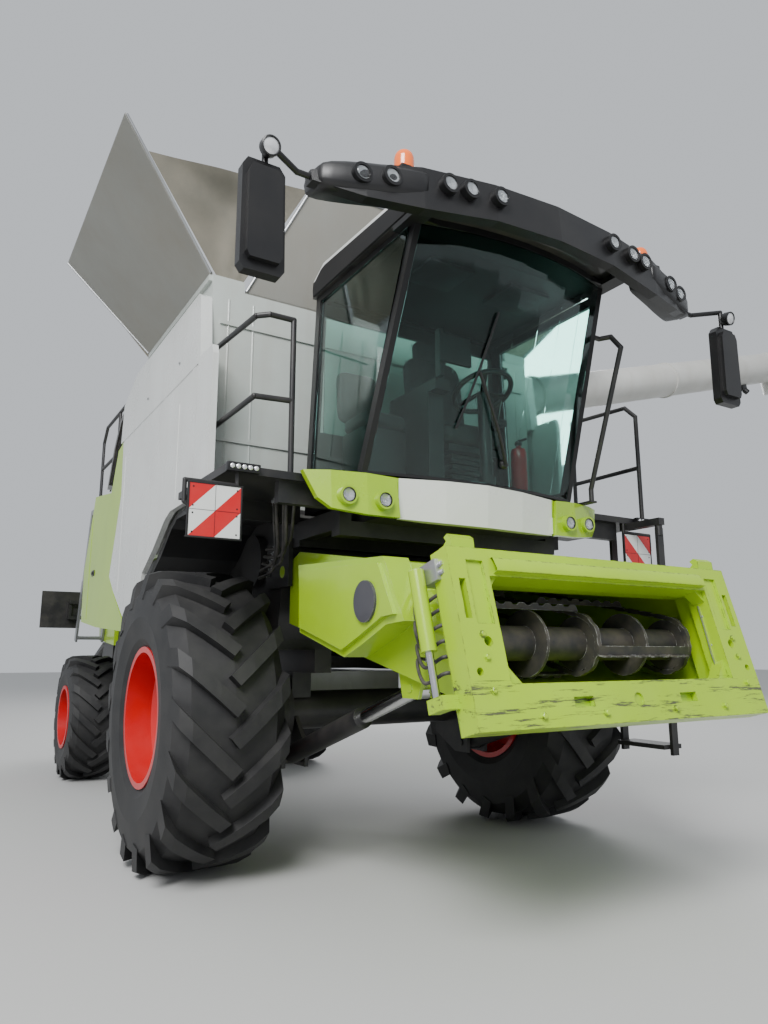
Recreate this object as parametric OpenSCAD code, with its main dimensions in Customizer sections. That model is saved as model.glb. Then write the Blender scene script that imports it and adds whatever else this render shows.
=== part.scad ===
// Combine harvester, parked on its wheels, with the unloading auger swung out
// and the grain tank's extension panels open.
// +X is the machine's left side, +Y runs to its rear, +Z is up. All sizes are in millimetres.
// Sizes are first given from the middle of the front axle on the ground, and the whole
// machine is then moved so that its origin lies under the middle of its bounding box.

/* [Wheels] */
// Distance between the front and the rear axle
wheelbase = 4000; // [3800:10:4200]
// Outer radius of a front tyre over its lugs
front_tyre_r = 920; // [880:5:950]
// Width of a front tyre
front_tyre_w = 690; // [620:5:710]
// Distance between the middles of the front tyres
front_track = 2750; // [2700:10:2800]
// Flange radius of a front rim
front_rim_r = 430; // [400:5:450]
// Outer radius of a rear tyre over its lugs
rear_tyre_r = 650; // [620:5:670]
// Width of a rear tyre
rear_tyre_w = 500; // [440:5:520]
// Distance between the middles of the rear tyres
rear_track = 2540; // [2500:10:2600]
// Flange radius of a rear rim
rear_rim_r = 327; // [300:1:340]
// Height of the front tyres' lugs
front_lug_h = 52; // [35:1:60]
// Height of the rear tyres' lugs
rear_lug_h = 42; // [30:1:50]
// Lugs on each side of a front tyre
front_lugs = 17; // [14:1:20]
// Lugs on each side of a rear tyre
rear_lugs = 16; // [13:1:19]

/* [Body] */
// Half width over the closed side panels
panel_x = 1500; // [1480:5:1520]
// Half width of the grain tank
tank_x = 1420; // [1400:5:1430]
// Front wall of the grain tank
tank_front_y = -250; // [-280:5:-220]
// Rear wall of the grain tank
tank_rear_y = 1520; // [1450:5:1600]
// Height of the grain tank's rim, where its panels hinge
tank_top_z = 3880; // [3800:5:3950]
// Height of the seam above the side panels
seam_z = 3200; // [3150:5:3250]
// Height of the platform beside the cab
platform_z = 2310; // [2280:5:2330]
// Thickness of the sheet metal panels
panel_t = 40; // [30:1:45]
// Wall of the grain tank
tank_wall = 30; // [20:1:40]
// Rear end of the straw spreader
rear_end_y = 6250; // [6150:10:6350]

/* [Feeder] */
// Half width of the front frame that carries the header
frame_x = 976; // [940:2:1000]
// Top of the front frame, forward of the front axle
frame_top_y = -2285; // [-2320:5:-2250]
// Height of the front frame's top
frame_top_z = 1767; // [1740:1:1790]
// Height of the front frame along its own slope
frame_h = 803; // [780:1:830]
// Lean of the front frame from upright, in degrees
frame_lean = 15; // [12:0.5:17]
// Half width of the feeder channel, outside
feeder_x = 850; // [830:5:870]
// Thickness of the feeder's sheet walls
feeder_wall = 12; // [8:1:16]
// Radius of the slatted chains' front roller
roller_r = 85; // [70:1:95]

/* [Auger] */
// Place of the auger's pivot from the middle plane
auger_pivot_x = 1705; // [1690:5:1720]
// Place of the auger's pivot behind the front axle
auger_pivot_y = 300; // [250:10:350]
// Height of the auger's middle line over its pivot
auger_pivot_z = 3715; // [3700:5:3730]
// Outer radius of the auger tube
auger_r = 187; // [170:1:195]
// Length of the auger tube from its pivot to the end of its spout
auger_len = 4950; // [4900:10:5000]
// Rise of the auger tube, in degrees
auger_rise = 15.7; // [14:0.1:17]

/* [Cab] */
// Half width of the cab at its floor
cab_x = 840; // [820:5:850]
// Half width of the cab at its roof
cab_top_x = 780; // [760:5:800]
// Rear wall of the cab
cab_rear_y = -560; // [-580:5:-540]
// Height of the windscreen's lower edge
screen_z0 = 2340; // [2330:5:2360]
// Height of the windscreen's upper edge
screen_z1 = 3690; // [3660:5:3710]
// Place of the windscreen's lower corners
screen_y0 = -1290; // [-1310:5:-1270]
// Place of the windscreen's upper corners
screen_y1 = -1750; // [-1770:5:-1730]
// Bulge of the windscreen at its middle
screen_bulge = 110; // [80:5:140]
// Thickness of the cab's glass
glass_t = 8; // [5:1:10]
// Thickness of the cab's frame
cab_t = 60; // [50:1:70]

/* [Hidden] */
$fn = 40;

// Colours
lime = [0.66, 0.80, 0.10];
pale = [0.86, 0.87, 0.85];
tank_grey = [0.70, 0.74, 0.72];
flap_grey = [0.58, 0.58, 0.56];
canvas_grey = [0.45, 0.44, 0.40];
black = [0.08, 0.08, 0.09];
dark = [0.22, 0.22, 0.24];
rubber = [0.09, 0.09, 0.09];
red = [0.85, 0.07, 0.08];
steel = [0.72, 0.73, 0.75];
auger_grey = [0.76, 0.76, 0.74];
glass_tint = [0.35, 0.75, 0.68, 0.4];
amber = [0.98, 0.42, 0.10];

// Running gap at a pivot, and free gap between pieces that move past each other
seat = 0.3;
clear = 8;

// Tank extension panels: thickness, radius of their hinge tubes, and reach of an open side panel
// outward and upward from its hinge
flap_t = 14;
hinge_r = 12;
flap_run = 680;
flap_rise = 776;

// The box of the machine, from the front axle
mirror_reach = 1850;
flap_reach = tank_x + hinge_r + seat + flap_run + 0.75 * flap_t;
auger_reach = auger_pivot_x + auger_len * cos(auger_rise) + auger_r * sin(auger_rise);
feeder_reach = frame_top_y - frame_h * sin(frame_lean);
shift_x = (flap_reach - auger_reach) / 2;
shift_y = -(rear_end_y + feeder_reach) / 2;

// Moves a piece from the front axle's place to the machine's own origin
module placed() { translate([shift_x, shift_y, 0]) children(); }

// Draws a piece of the machine's left side, mirrored over for its right side
module on_side(side) {
  if (side > 0) children();
  else mirror([1, 0, 0]) children();
}

// A sheet or block with its outline in Y and Z, between two places in X
module side_cut(x0, x1, outline) {
  translate([x0, 0, 0]) rotate([90, 0, 90]) linear_extrude(x1 - x0) polygon(outline);
}

// A sheet or block with its outline in X and Z, between two places in Y
module front_cut(y0, y1, outline) {
  translate([0, y1, 0]) rotate([90, 0, 0]) linear_extrude(y1 - y0) polygon(outline);
}

// A block between its lowest and highest corner
module block(low, high) { translate(low) cube(high - low); }

// A straight round bar between two points
module rod(a, b, r) {
  d = b - a;
  translate(a) rotate([0, acos(d[2] / norm(d)), atan2(d[1], d[0])]) cylinder(h = norm(d), r = r);
}

// A bent round tube through a list of points, with a ball at each bend
module pipe(points, r) {
  for (i = [0:len(points) - 2]) rod(points[i], points[i + 1], r);
  for (i = [1:len(points) - 2]) translate(points[i]) sphere(r = r * 1.03);
}

// A round bar along X
module bar_x(x0, x1, y, z, r) { translate([x0, y, z]) rotate([0, 90, 0]) cylinder(h = x1 - x0, r = r); }

// A round bar along Y
module bar_y(x, y0, y1, z, r) { translate([x, y1, z]) rotate([90, 0, 0]) cylinder(h = y1 - y0, r = r); }

// A round bar along Z
module bar_z(x, y, z0, z1, r) { translate([x, y, z0]) cylinder(h = z1 - z0, r = r); }

// A curved sheet: rows of points, moved by one thickness vector to make its other face
module skin(rows, thick) {
  n = len(rows);
  m = len(rows[0]);
  across = rows[0][1] - rows[0][0];
  along = rows[1][0] - rows[0][0];
  flip = cross(across, along) * thick > 0;
  near = [for (r = rows) for (p = r) p];
  points = concat(near, [for (p = near) p + thick]);
  far = n * m;
  quads = concat(
    [for (i = [0:n - 2]) for (j = [0:m - 2])
      [i * m + j, (i + 1) * m + j, (i + 1) * m + j + 1, i * m + j + 1]],
    [for (i = [0:n - 2]) for (j = [0:m - 2])
      [far + i * m + j, far + i * m + j + 1, far + (i + 1) * m + j + 1, far + (i + 1) * m + j]],
    [for (j = [0:m - 2]) [j, j + 1, far + j + 1, far + j]],
    [for (j = [0:m - 2]) [(n - 1) * m + j + 1, (n - 1) * m + j, far + (n - 1) * m + j, far + (n - 1) * m + j + 1]],
    [for (i = [0:n - 2]) [(i + 1) * m, i * m, far + i * m, far + (i + 1) * m]],
    [for (i = [0:n - 2]) [i * m + m - 1, (i + 1) * m + m - 1, far + (i + 1) * m + m - 1, far + i * m + m - 1]]);
  triangles = [for (q = quads) each [[q[0], q[1], q[2]], [q[0], q[2], q[3]]]];
  polyhedron(points, flip ? [for (t = triangles) [t[2], t[1], t[0]]] : triangles);
}

// Wheels

// Tyre about the X axis: a hollow carcass with two rows of slanted lugs
module tyre(r, w, rim_r, rim_w, lug_h, lugs, lug_turn) {
  crown = r - lug_h;
  bead_r = rim_r - 24 + seat;
  side_h = crown - bead_r;
  h = w / 2;
  outer = [[bead_r, rim_w / 2 - seat], [rim_r + 4, rim_w / 2 - seat], [bead_r + 0.16 * side_h, 0.94 * h],
    [bead_r + 0.45 * side_h, h],
    [bead_r + 0.80 * side_h, 0.95 * h], [crown - 0.03 * side_h, 0.72 * h], [crown, 0]];
  inner = [[crown - 70, 0], [crown - 80, 0.62 * h], [bead_r + 0.45 * side_h, h - 42], [bead_r, 0.66 * h]];
  half_outline = concat(outer, inner);
  full_outline = concat(
    [for (p = outer) p],
    [for (i = [len(outer) - 2:-1:0]) [outer[i][0], -outer[i][1]]],
    [for (i = [len(inner) - 1:-1:0]) [inner[i][0], -inner[i][1]]],
    [for (i = [1:len(inner) - 1]) inner[i]]);
  lug_band = [[crown - 30, 0], [crown - 40, 0.80 * h], [crown - 0.32 * side_h, 0.93 * h],
    [crown - 0.30 * side_h, 0.985 * h], [r - 34, 0.93 * h], [r - 8, 0.74 * h], [r, 0.30 * h], [r, 0]];
  band_outline = concat(lug_band,
    [for (i = [len(lug_band) - 2:-1:1]) [lug_band[i][0], -lug_band[i][1]]]);
  lug_t = 0.205 * r * 360 / lugs / 57.3 + 8;
  color(rubber) rotate([0, 90, 0]) {
    rotate_extrude($fn = 72) polygon(full_outline);
    intersection() {
      rotate_extrude($fn = 72) polygon(band_outline);
      for (i = [0:lugs - 1]) for (s = [-1, 1])
        rotate([0, 0, (i + (s > 0 ? 0.5 : 0)) * 360 / lugs])
          translate([crown - 190, 0, 0]) rotate([s * lug_turn, 0, 0]) translate([0, -lug_t / 2, s > 0 ? -20 : -w])
            cube([300, lug_t, w + 20]);
    }
  }
}

// Rim about the X axis: barrel with two flanges, a dished disc and a hub that meets the axle
module rim(rim_r, w, disc_at, hub_at, hub_r, bolts) {
  seat_r = rim_r - 24;
  well_r = seat_r - 50;
  h = w / 2;
  t = 12;
  color(red) rotate([0, 90, 0]) difference() {
    rotate_extrude($fn = 72) polygon([
      [0, hub_at], [hub_r, hub_at], [hub_r, disc_at - 25], [hub_r + 60, disc_at - 25], [well_r - 70, disc_at + 10],
      [well_r, disc_at + 10], [well_r, -0.34 * h], [seat_r - t, -0.46 * h], [seat_r - t, -h - t], [rim_r, -h - t],
      [rim_r, -h], [seat_r, -h], [seat_r, -0.42 * h], [well_r + t, -0.30 * h], [well_r + t, 0.30 * h],
      [seat_r, 0.42 * h], [seat_r, h], [rim_r, h], [rim_r, h + t], [seat_r - t, h + t], [seat_r - t, 0.46 * h],
      [well_r, 0.34 * h], [well_r, disc_at + 24], [well_r - 75, disc_at + 24], [hub_r + 60, disc_at - 8],
      [hub_r * 0.72, disc_at - 8], [hub_r * 0.66, disc_at + 50], [0, disc_at + 50]]);
    for (i = [0:7]) rotate([0, 0, i * 45 + 22.5]) translate([(seat_r + hub_r) / 2, 0, disc_at - 60])
      cylinder(h = 120, r = rim_r * 0.055);
  }
  color(steel) rotate([0, 90, 0]) for (i = [0:bolts - 1]) rotate([0, 0, i * 360 / bolts])
    translate([hub_r + 30, 0, disc_at - 12]) cylinder(h = 24, r = 15, $fn = 6);
}

front_rim_w = 590;
front_hub_face = 1150;
rear_rim_w = 460;
rear_hub_face = 1130;

module front_tyre(side) {
  on_side(side) translate([front_track / 2, 0, front_tyre_r])
    tyre(front_tyre_r, front_tyre_w, front_rim_r, front_rim_w, front_lug_h, front_lugs, 42);
}

module front_rim(side) {
  on_side(side) translate([front_track / 2, 0, front_tyre_r])
    rim(front_rim_r, front_rim_w, -80, front_hub_face + seat - front_track / 2, 170, 10);
}

module rear_wheel(side) {
  on_side(side) translate([rear_track / 2, wheelbase, rear_tyre_r]) {
    tyre(rear_tyre_r, rear_tyre_w, rear_rim_r, rear_rim_w, rear_lug_h, rear_lugs, 43);
    rim(rear_rim_r, rear_rim_w, -60, rear_hub_face + seat - rear_track / 2, 120, 8);
  }
}

// Axles and chassis

king_pin_x = 900;
boss_r = 78;
boss_h = 190;

// The lift cylinders: places of their lower pins and of their rods' eyes
lift_x = 750;
lift_base = [-220, 650];
lift_eye = [-1746, 1133];
lift_run = lift_eye - lift_base;
lift_len = norm(lift_run);
lift_angle = atan2(lift_run[1], -lift_run[0]);
lift_r = 60;
lift_pin_r = 25;
// The rod's eye is the open pivot of this linkage, so it has play round its thinner pin
lift_eye_pin_r = 20;
lift_eye_play = 11.5;

module front_axle() {
  ear_t = 28;
  color(dark) {
    bar_x(-780, 780, 0, front_tyre_r, 130);
    for (side = [-1, 1]) on_side(side) {
      translate([780, 0, front_tyre_r]) rotate([0, 90, 0]) rotate_extrude() polygon([[0, -40], [250, -40],
        [265, 0], [265, 120], [215, 170], [190, 230], [170, front_hub_face - 780], [0, front_hub_face - 780]]);
      block([560, -120, front_tyre_r + 90], [700, 120, 1180]);
      // Clevis ears and pin of the lift cylinder
      for (ear = [-1, 1]) side_cut(lift_x + ear * (lift_r + 22) - ear_t / 2, lift_x + ear * (lift_r + 22) + ear_t / 2,
        [[lift_base[0] - 75, lift_base[1] - 70], [lift_base[0] - 75, lift_base[1] + 60], [-120, 900],
          [100, 900], [100, lift_base[1] + 60], [lift_base[0] + 80, lift_base[1] - 70]]);
      bar_x(lift_x - lift_r - 45, lift_x + lift_r + 45, lift_base[0], lift_base[1], lift_pin_r);
    }
  }
}

module chassis() {
  color(dark) {
    for (side = [-1, 1]) on_side(side) difference() {
      side_cut(560, 680, [[-420, 1180], [-420, 1330], [3300, 1330], [4700, 1180], [4900, 1060], [4900, 940],
        [3300, 1080], [2600, 1180]]);
      side_cut(590, 650, [[-390, 1210], [-390, 1300], [3280, 1300], [4640, 1155], [4860, 1035], [4860, 980],
        [3310, 1115], [2610, 1210]]);
    }
    for (y = [700, 2000, 3300]) block([-560, y, 1190], [560, y + 110, 1290]);
    block([-560, 4500, 1110], [560, 4610, 1180]);
    block([-560, wheelbase - 120, 860], [560, wheelbase + 120, 1110]);
  }
  // Tow hitch with its jaw and pin hole
  color(dark) difference() {
    union() {
      for (z = [800, 920]) {
        block([-90, 4600, z], [90, 4960, z + 50]);
        bar_z(0, 4960, z, z + 50, 90);
      }
      block([-90, 4560, 800], [90, 4640, 1115]);
    }
    bar_z(0, 4960, 780, 1000, 21);
  }
}

module rear_axle() {
  color(dark) difference() {
    union() {
      front_cut(wheelbase - 80, wheelbase + 80, [[-king_pin_x, 600], [-560, 600], [-200, 700], [200, 700],
        [560, 600], [king_pin_x, 600], [king_pin_x, 720], [500, 780], [180, 860 - seat], [-180, 860 - seat],
        [-500, 780], [-king_pin_x, 720]]);
      for (s = [-1, 1]) translate([s * king_pin_x, wheelbase, rear_tyre_r - boss_h / 2]) cylinder(h = boss_h, r = boss_r);
      for (s = [-1, 1]) block([s * 380 - 40, wheelbase + 70, 610], [s * 380 + 40, wheelbase + 235, 700]);
      bar_x(-420, 420, wheelbase + steer_arm, 655, 45);
    }
    for (s = [-1, 1]) translate([s * king_pin_x, wheelbase, rear_tyre_r - 300]) cylinder(h = 600, r = 35 + seat);
    bar_x(-430, 430, wheelbase + steer_arm, 655, 22 + seat);
  }
}

steer_arm = 190;

module steering_knuckle(side) {
  on_side(side) color(dark) translate([king_pin_x, wheelbase, rear_tyre_r]) {
    cylinder(h = boss_h + 90, r = 35, center = true);
    for (s = [-1, 1]) translate([0, 0, s * (boss_h / 2 + 25 + seat)]) {
      cylinder(h = 50, r = 80, center = true);
      translate([70, 0, 0]) cube([140, 130, 50], center = true);
    }
    block([95, -65, -boss_h / 2 - 50], [145, 65, boss_h / 2 + 50]);
    bar_x(140, rear_hub_face - king_pin_x, 0, 0, 75);
    // Steering arm below the boss
    translate([0, 0, -boss_h / 2 - 50 - seat]) difference() {
      union() {
        block([-35, 0, 0], [35, steer_arm, 50]);
        translate([0, steer_arm, 0]) cylinder(h = 50, r = 42);
      }
      translate([0, steer_arm, -5]) cylinder(h = 60, r = 15);
    }
  }
}

module steering_rod() {
  color(steel) {
    bar_x(-760, 760, wheelbase + steer_arm, 655, 22);
    for (s = [-1, 1]) translate([s * 790, wheelbase + steer_arm, 655]) {
      cylinder(h = 44, r = 40, center = true);
      translate([-s * 20, 0, 0]) cube([50, 40, 44], center = true);
    }
  }
}

// Inner bodies

thresher_x = 860;

module thresher_body() {
  color(dark) difference() {
    side_cut(-thresher_x, thresher_x, [[-430, 1330 + seat], [-430, 2200], [-262, 2258], [-250, 2290], [3300, 2290],
      [4500, 2100], [4600, 1420], [3300, 1330 + seat]]);
    side_cut(-thresher_x - 10, thresher_x + 10, [[-800, 1200], [-800, 2060], [-330, 2060], [-200, 1400], [-200, 1200]]);
  }
  color(dark) for (side = [-1, 1]) on_side(side) {
    // Belt drives
    for (w = [[160, 1960, 190], [1180, 1950, 200], [1750, 2050, 170], [2500, 1800, 230]])
      bar_x(thresher_x, thresher_x + 60, w[0], w[1], w[2]);
    // Bearing plate of the feeder's pivot
    difference() {
      side_cut(thresher_x - 2, thresher_x + 28, [[-430, 1740], [-430, 2050], [-60, 2050], [-60, 1740]]);
      bar_x(thresher_x - 10, thresher_x + 40, feeder_pivot[0], feeder_pivot[1], feeder_pin_r + seat);
    }
    // Arms and pins of the rear side panel's hinge
    for (z = panel_hinge_z) {
      block([thresher_x, panel_hinge_y - 10, z - 30 - seat], [panel_hinge_x, panel_hinge_y + 10, z - seat]);
      bar_z(panel_hinge_x, panel_hinge_y, z - 30 - seat, z - seat, 12);
      bar_z(panel_hinge_x, panel_hinge_y, z - 10, z + 28, 5);
    }
  }
}

module cleaning_shoe() {
  color(pale) side_cut(-559.7, 559.7, [[500, 800], [2600, 700], [3350, 850], [3350, 1170], [500, 1170]]);
}

// The engine, as one plain block between its lowest and highest corner
engine_low = [-450, 1950, 2290 + seat];
engine_high = [500, 3150, 2930];

module engine_block() { color(dark) block(engine_low, engine_high); }

module engine_space() { block(engine_low - [10, 10, 20], engine_high + [10, 10, 10]); }

// Grain tank

flap_y0 = -390;
flap_y1 = 1390;
end_hinge_z = tank_top_z - 70;
end_hinge_x = 1180;
// Places of the side panels' hinge line outside the wall and above the rim
side_hinge = [tank_x + hinge_r + seat, tank_top_z + 14];

module grain_tank() {
  w = tank_wall;
  floor_z = 2420;
  end_wall_z = end_hinge_z - hinge_r - seat;
  color(tank_grey) {
    difference() {
      block([-tank_x, tank_front_y, floor_z - 130 + seat], [tank_x, tank_rear_y, tank_top_z]);
      block([-tank_x + w, tank_front_y + w, floor_z + 420], [tank_x - w, tank_rear_y - w, tank_top_z + 1]);
      // Sloped floor down to the cross augers
      front_cut(tank_front_y + w, tank_rear_y - w, [[-tank_x + w, floor_z + 421], [-500, floor_z], [500, floor_z],
        [tank_x - w, floor_z + 421]]);
      // End walls stop below the end panels' hinges
      block([-end_hinge_x - 12, tank_front_y - 1, end_wall_z], [end_hinge_x + 12, tank_rear_y + 1, tank_top_z + 1]);
    }
    // Pressed ribs on the front wall
    for (z = [2700, 3530]) block([-tank_x + 60, tank_front_y - 12, z], [tank_x - 60, tank_front_y, z + 30]);
    // Rim flanges below the side panels' hinges
    for (side = [-1, 1]) on_side(side)
      block([tank_x - 1, flap_y0 + 160, tank_top_z - 40], [tank_x + 24, flap_y1, side_hinge[1] - hinge_r - seat]);
  }
  // Cross augers and the filling auger
  color(steel) {
    for (y = [350, 950]) bar_x(-tank_x + w, tank_x - w, y, floor_z + 150, 70);
    rod([650, 620, floor_z], [80, 620, 3560], 130);
  }
}

// Rear edge of the fixed covers beside the cab
cover_y = -262;
// Hinge line of the front side panels, in the seam below the bands
panel_seam_hinge = [panel_x - 6, seam_z + 4];
panel_seam_r = 5.5;

module tank_side_bands() {
  color(pale) for (side = [-1, 1]) on_side(side) difference() {
    union() {
      side_cut(tank_x + seat, panel_x, [[tank_front_y - 50, seam_z + clear], [tank_front_y - 50, seam_z + 80],
        [tank_front_y, 3700], [tank_front_y + 40, 3730], [1500, 3730], [1950, 3560], [2000, seam_z + clear]]);
      // Fixed cover between the platform and the front side panel
      side_cut(panel_x - panel_t, panel_x, [[-560, platform_z + seat], [-560, seam_z - 20], [-540, seam_z + 40],
        [cover_y, seam_z + 40], [cover_y, platform_z + seat]]);
    }
    bar_y(panel_seam_hinge[0], tank_front_y - 10, 2100, panel_seam_hinge[1], panel_seam_r + seat);
    if (side > 0) block([tank_x - 1, auger_pivot_y - 240, seam_z], [panel_x + 1, auger_pivot_y + 205, seam_z + 300]);
  }
}

// Engine compartment and deck

deck_z = 3060;
deck_x = 1200;

module engine_housing() {
  color(pale) difference() {
    union() {
      side_cut(-tank_x, tank_x, [[tank_rear_y + seat, 2300], [tank_rear_y + seat, 3720], [1700, 3720], [2350, 3560],
        [2600, 3250], [2700, deck_z], [2700, 2300]]);
      block([-deck_x, 2700, deck_z - 60], [deck_x, 4600, deck_z]);
    }
    engine_space();
  }
  color(black) for (side = [-1, 1]) on_side(side) difference() {
    side_cut(tank_x, tank_x + 30, [[2000 + clear, 3640], [2330, 3540], [2560, 3300], [2760, 2930], [2300, 2830],
      [2100, 3170]]);
    side_cut(tank_x + 10, tank_x + 40, [[2050 + clear, 3580], [2300, 3500], [2510, 3280], [2690, 2960], [2320, 2880],
      [2150, 3190]]);
  }
  // Bars across the side screens
  color(black) for (side = [-1, 1]) on_side(side) for (i = [0:7])
    side_cut(tank_x + 8, tank_x + 22, [[2210 + i * 22, 3545 - i * 62], [2225 + i * 22, 3530 - i * 62],
      [2475 + i * 30, 3330 - i * 62], [2460 + i * 30, 3345 - i * 62]]);
  // Cooler's rotary screen with its rim, hub and suction arm, and the exhaust
  color(black) translate([-300, 2050, 3600]) rotate([-14, 0, 0]) {
    cylinder(h = 50, r = 500);
    difference() {
      cylinder(h = 70, r = 520);
      translate([0, 0, -1]) cylinder(h = 80, r = 494);
    }
    cylinder(h = 95, r = 90);
    rotate([0, 0, 35]) block([-45, 0, 45], [45, 505, 92]);
  }
  color(steel) pipe([[900, 2950, deck_z], [900, 2950, 3560], [960, 3080, 3660]], 85);
}

module engine_deck_rails() {
  r = 19;
  color(dark) for (side = [-1, 1]) on_side(side) {
    pipe([[deck_x - r, 2860, deck_z], [deck_x - r, 2860, 3900], [deck_x - r, 2980, 4060], [deck_x - r, 4400, 4060],
      [deck_x - r, 4560, 3900], [deck_x - r, 4560, deck_z]], r);
    rod([deck_x - r, 2860, 3560], [deck_x - r, 4560, 3560], r);
    rod([deck_x - r, 3700, deck_z], [deck_x - r, 3700, 4060], r);
  }
}

module rear_hood() {
  color(lime) difference() {
    side_cut(-900, 900, [[4620, 2090], [4620, 1420], [5500, 1500], [5650, 2150], [5560, 2620], [4760, 3000 - seat],
      [2700 + seat, 3000 - seat], [2700 + seat, 2290 + seat], [3310, 2290 + seat], [4520, 2100 + seat]]);
    side_cut(-860, 860, [[4800, 1300], [4800, 2300], [5300, 2300], [5480, 2100], [5400, 1300]]);
    engine_space();
  }
  color(pale) block([-700, 5560, 2150], [700, 5670, 2600]);
}

module straw_chopper() {
  color(dark) {
    side_cut(-850, 850, [[4900, 1180], [4860, 1420], [4950, 1500], [5350, 1560], [5500, 1300], [5300, 1080]]);
    side_cut(-850, 850, [[5430, 1425], [5500, 1470], [rear_end_y, 1230], [rear_end_y, 1200]]);
    for (i = [-3:3]) side_cut(i * 250 - 6, i * 250 + 6, [[5460, 1445], [rear_end_y - 20, 1215], [rear_end_y - 60, 1110],
      [5470, 1310]]);
    // Carriers beside the chassis rails
    for (side = [-1, 1]) on_side(side) block([680 + seat, 4660, 1080], [720, 4960, 1420]);
  }
}

// Rear lights, marker boards and ladder

module rear_lights() {
  color(black) for (side = [-1, 1]) on_side(side) {
    block([1150, 5590, 1650], [1620, 5620, 2120]);
    for (z = [1760, 1960]) block([900, 5500, z], [1300, 5540, z + 40]);
    block([1260, 5530, 1770], [1300, 5600, 1990]);
  }
  color(red) for (side = [-1, 1]) on_side(side) block([1190, 5620, 1680], [1580, 5650, 1790]);
}

ladder_x = [-1230, -920];
ladder_t = 12;
// Rear face of the ladder's stiles: its lower and upper end
ladder_low = [5260, 1480];
ladder_high = [4760, deck_z];
ladder_run = (ladder_high - ladder_low) / norm(ladder_high - ladder_low);
ladder_out = [ladder_run[1], -ladder_run[0]];
function on_ladder(along, out) = ladder_low + ladder_run * along + ladder_out * out;

module rear_ladder() {
  color(steel) {
    for (x = ladder_x) side_cut(x - ladder_t, x + ladder_t, [on_ladder(0, -56), ladder_low, ladder_high, [4600 + seat, deck_z],
      [4600 + seat, deck_z - 60], [4690, deck_z - 60]]);
    for (i = [0:5]) side_cut(ladder_x[0], ladder_x[1], [on_ladder(40 + i * 265, -54), on_ladder(65 + i * 265, -54),
      on_ladder(65 + i * 265, -6), on_ladder(40 + i * 265, -6)]);
    // Stays from the hood
    for (along = [300, 1000]) side_cut(ladder_x[1], -900 - seat, [on_ladder(along, -50), on_ladder(along + 60, -50),
      on_ladder(along + 60, -10), on_ladder(along, -10)]);
  }
}

// The ladder's sliding foot, held up on the rear faces of the ladder's stiles
foot_len = 760;

module rear_ladder_foot() {
  color(steel) {
    for (x = ladder_x) side_cut(x - ladder_t, x + ladder_t, [on_ladder(0, seat), on_ladder(foot_len, seat),
      on_ladder(foot_len, 40), on_ladder(0, 40)]);
    for (i = [0:2]) side_cut(ladder_x[0], ladder_x[1], [on_ladder(15 + i * 265, 6), on_ladder(40 + i * 265, 6),
      on_ladder(40 + i * 265, 40), on_ladder(15 + i * 265, 40)]);
  }
}

// Tank extension panels
module side_flap(side) {
  out = [0.75, 0, -0.66];
  h = [side_hinge[0], 0, side_hinge[1]];
  color(flap_grey) on_side(side) {
    skin([[h + [0, flap_y0 + 160, 0], h + [0, flap_y1, 0]],
      [h + [flap_run, flap_y0 - 120, flap_rise], h + [flap_run, flap_y1 + 240, flap_rise]]], out * flap_t);
    bar_y(side_hinge[0], flap_y0 + 160, flap_y1, side_hinge[1], hinge_r);
  }
}

// Front or rear panel, hinged on the end wall at wall_y and leaning outward to its top edge
module end_flap(wall_y, out, top_z) {
  hinge_y = wall_y - out * (hinge_r + 3);
  color(flap_grey) {
    skin([[[-end_hinge_x, hinge_y, end_hinge_z], [end_hinge_x, hinge_y, end_hinge_z]],
      [[-760, wall_y + out * 190, top_z], [760, wall_y + out * 190, top_z]]], [0, out * flap_t, 0]);
    bar_x(-end_hinge_x, end_hinge_x, hinge_y, end_hinge_z, hinge_r);
  }
}

module tank_flap_front() { end_flap(tank_front_y, -1, 4690); }
module tank_flap_rear() { end_flap(tank_rear_y, 1, 4590); }

// Canvas gussets between the side flaps and the end flaps
module tank_corner_canvas() {
  color(canvas_grey) for (side = [-1, 1]) on_side(side) {
    skin([[[tank_x - 20, tank_front_y + 10, tank_top_z + seat], [1200, tank_front_y + 10, tank_top_z + seat]],
      [[tank_x + 530, flap_y0 - 60, 4500], [800, tank_front_y - 170, 4640]]], [0, -6, 0]);
    skin([[[tank_x - 20, tank_rear_y - 10, tank_top_z + seat], [1200, tank_rear_y - 10, tank_top_z + seat]],
      [[tank_x + 530, tank_rear_y + 60, 4500], [800, tank_rear_y + 165, 4540]]], [0, 6, 0]);
  }
}

// Side panels and wheel arches

module side_panel_front(side) {
  top_z = seam_z - 6;
  color(pale) on_side(side) {
    side_cut(panel_x - panel_t, panel_x, [[cover_y + clear, 2300], [cover_y + clear, top_z], [1900, top_z],
      [1850, 2700], [2140, 2000], [1930, 1850], [1300, 1490], [1000, 1735], [930, 1920], [640, 2070], [370, 2240],
      [240, 2285], [-80, 2290]]);
    // Hinge tube in the seam and the tabs that join it
    bar_y(panel_seam_hinge[0], tank_front_y + 20, 1880, panel_seam_hinge[1], panel_seam_r);
    for (y = [-200, 500, 1200, 1800])
      block([panel_x - 12, y, top_z - 20], [panel_x - 1, y + 60, panel_seam_hinge[1]]);
  }
}

// Vertical hinge at the rear edge of the rear side panel
panel_hinge_x = panel_x - 20;
panel_hinge_y = 3440;
panel_hinge_z = [1720, 2060];

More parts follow.
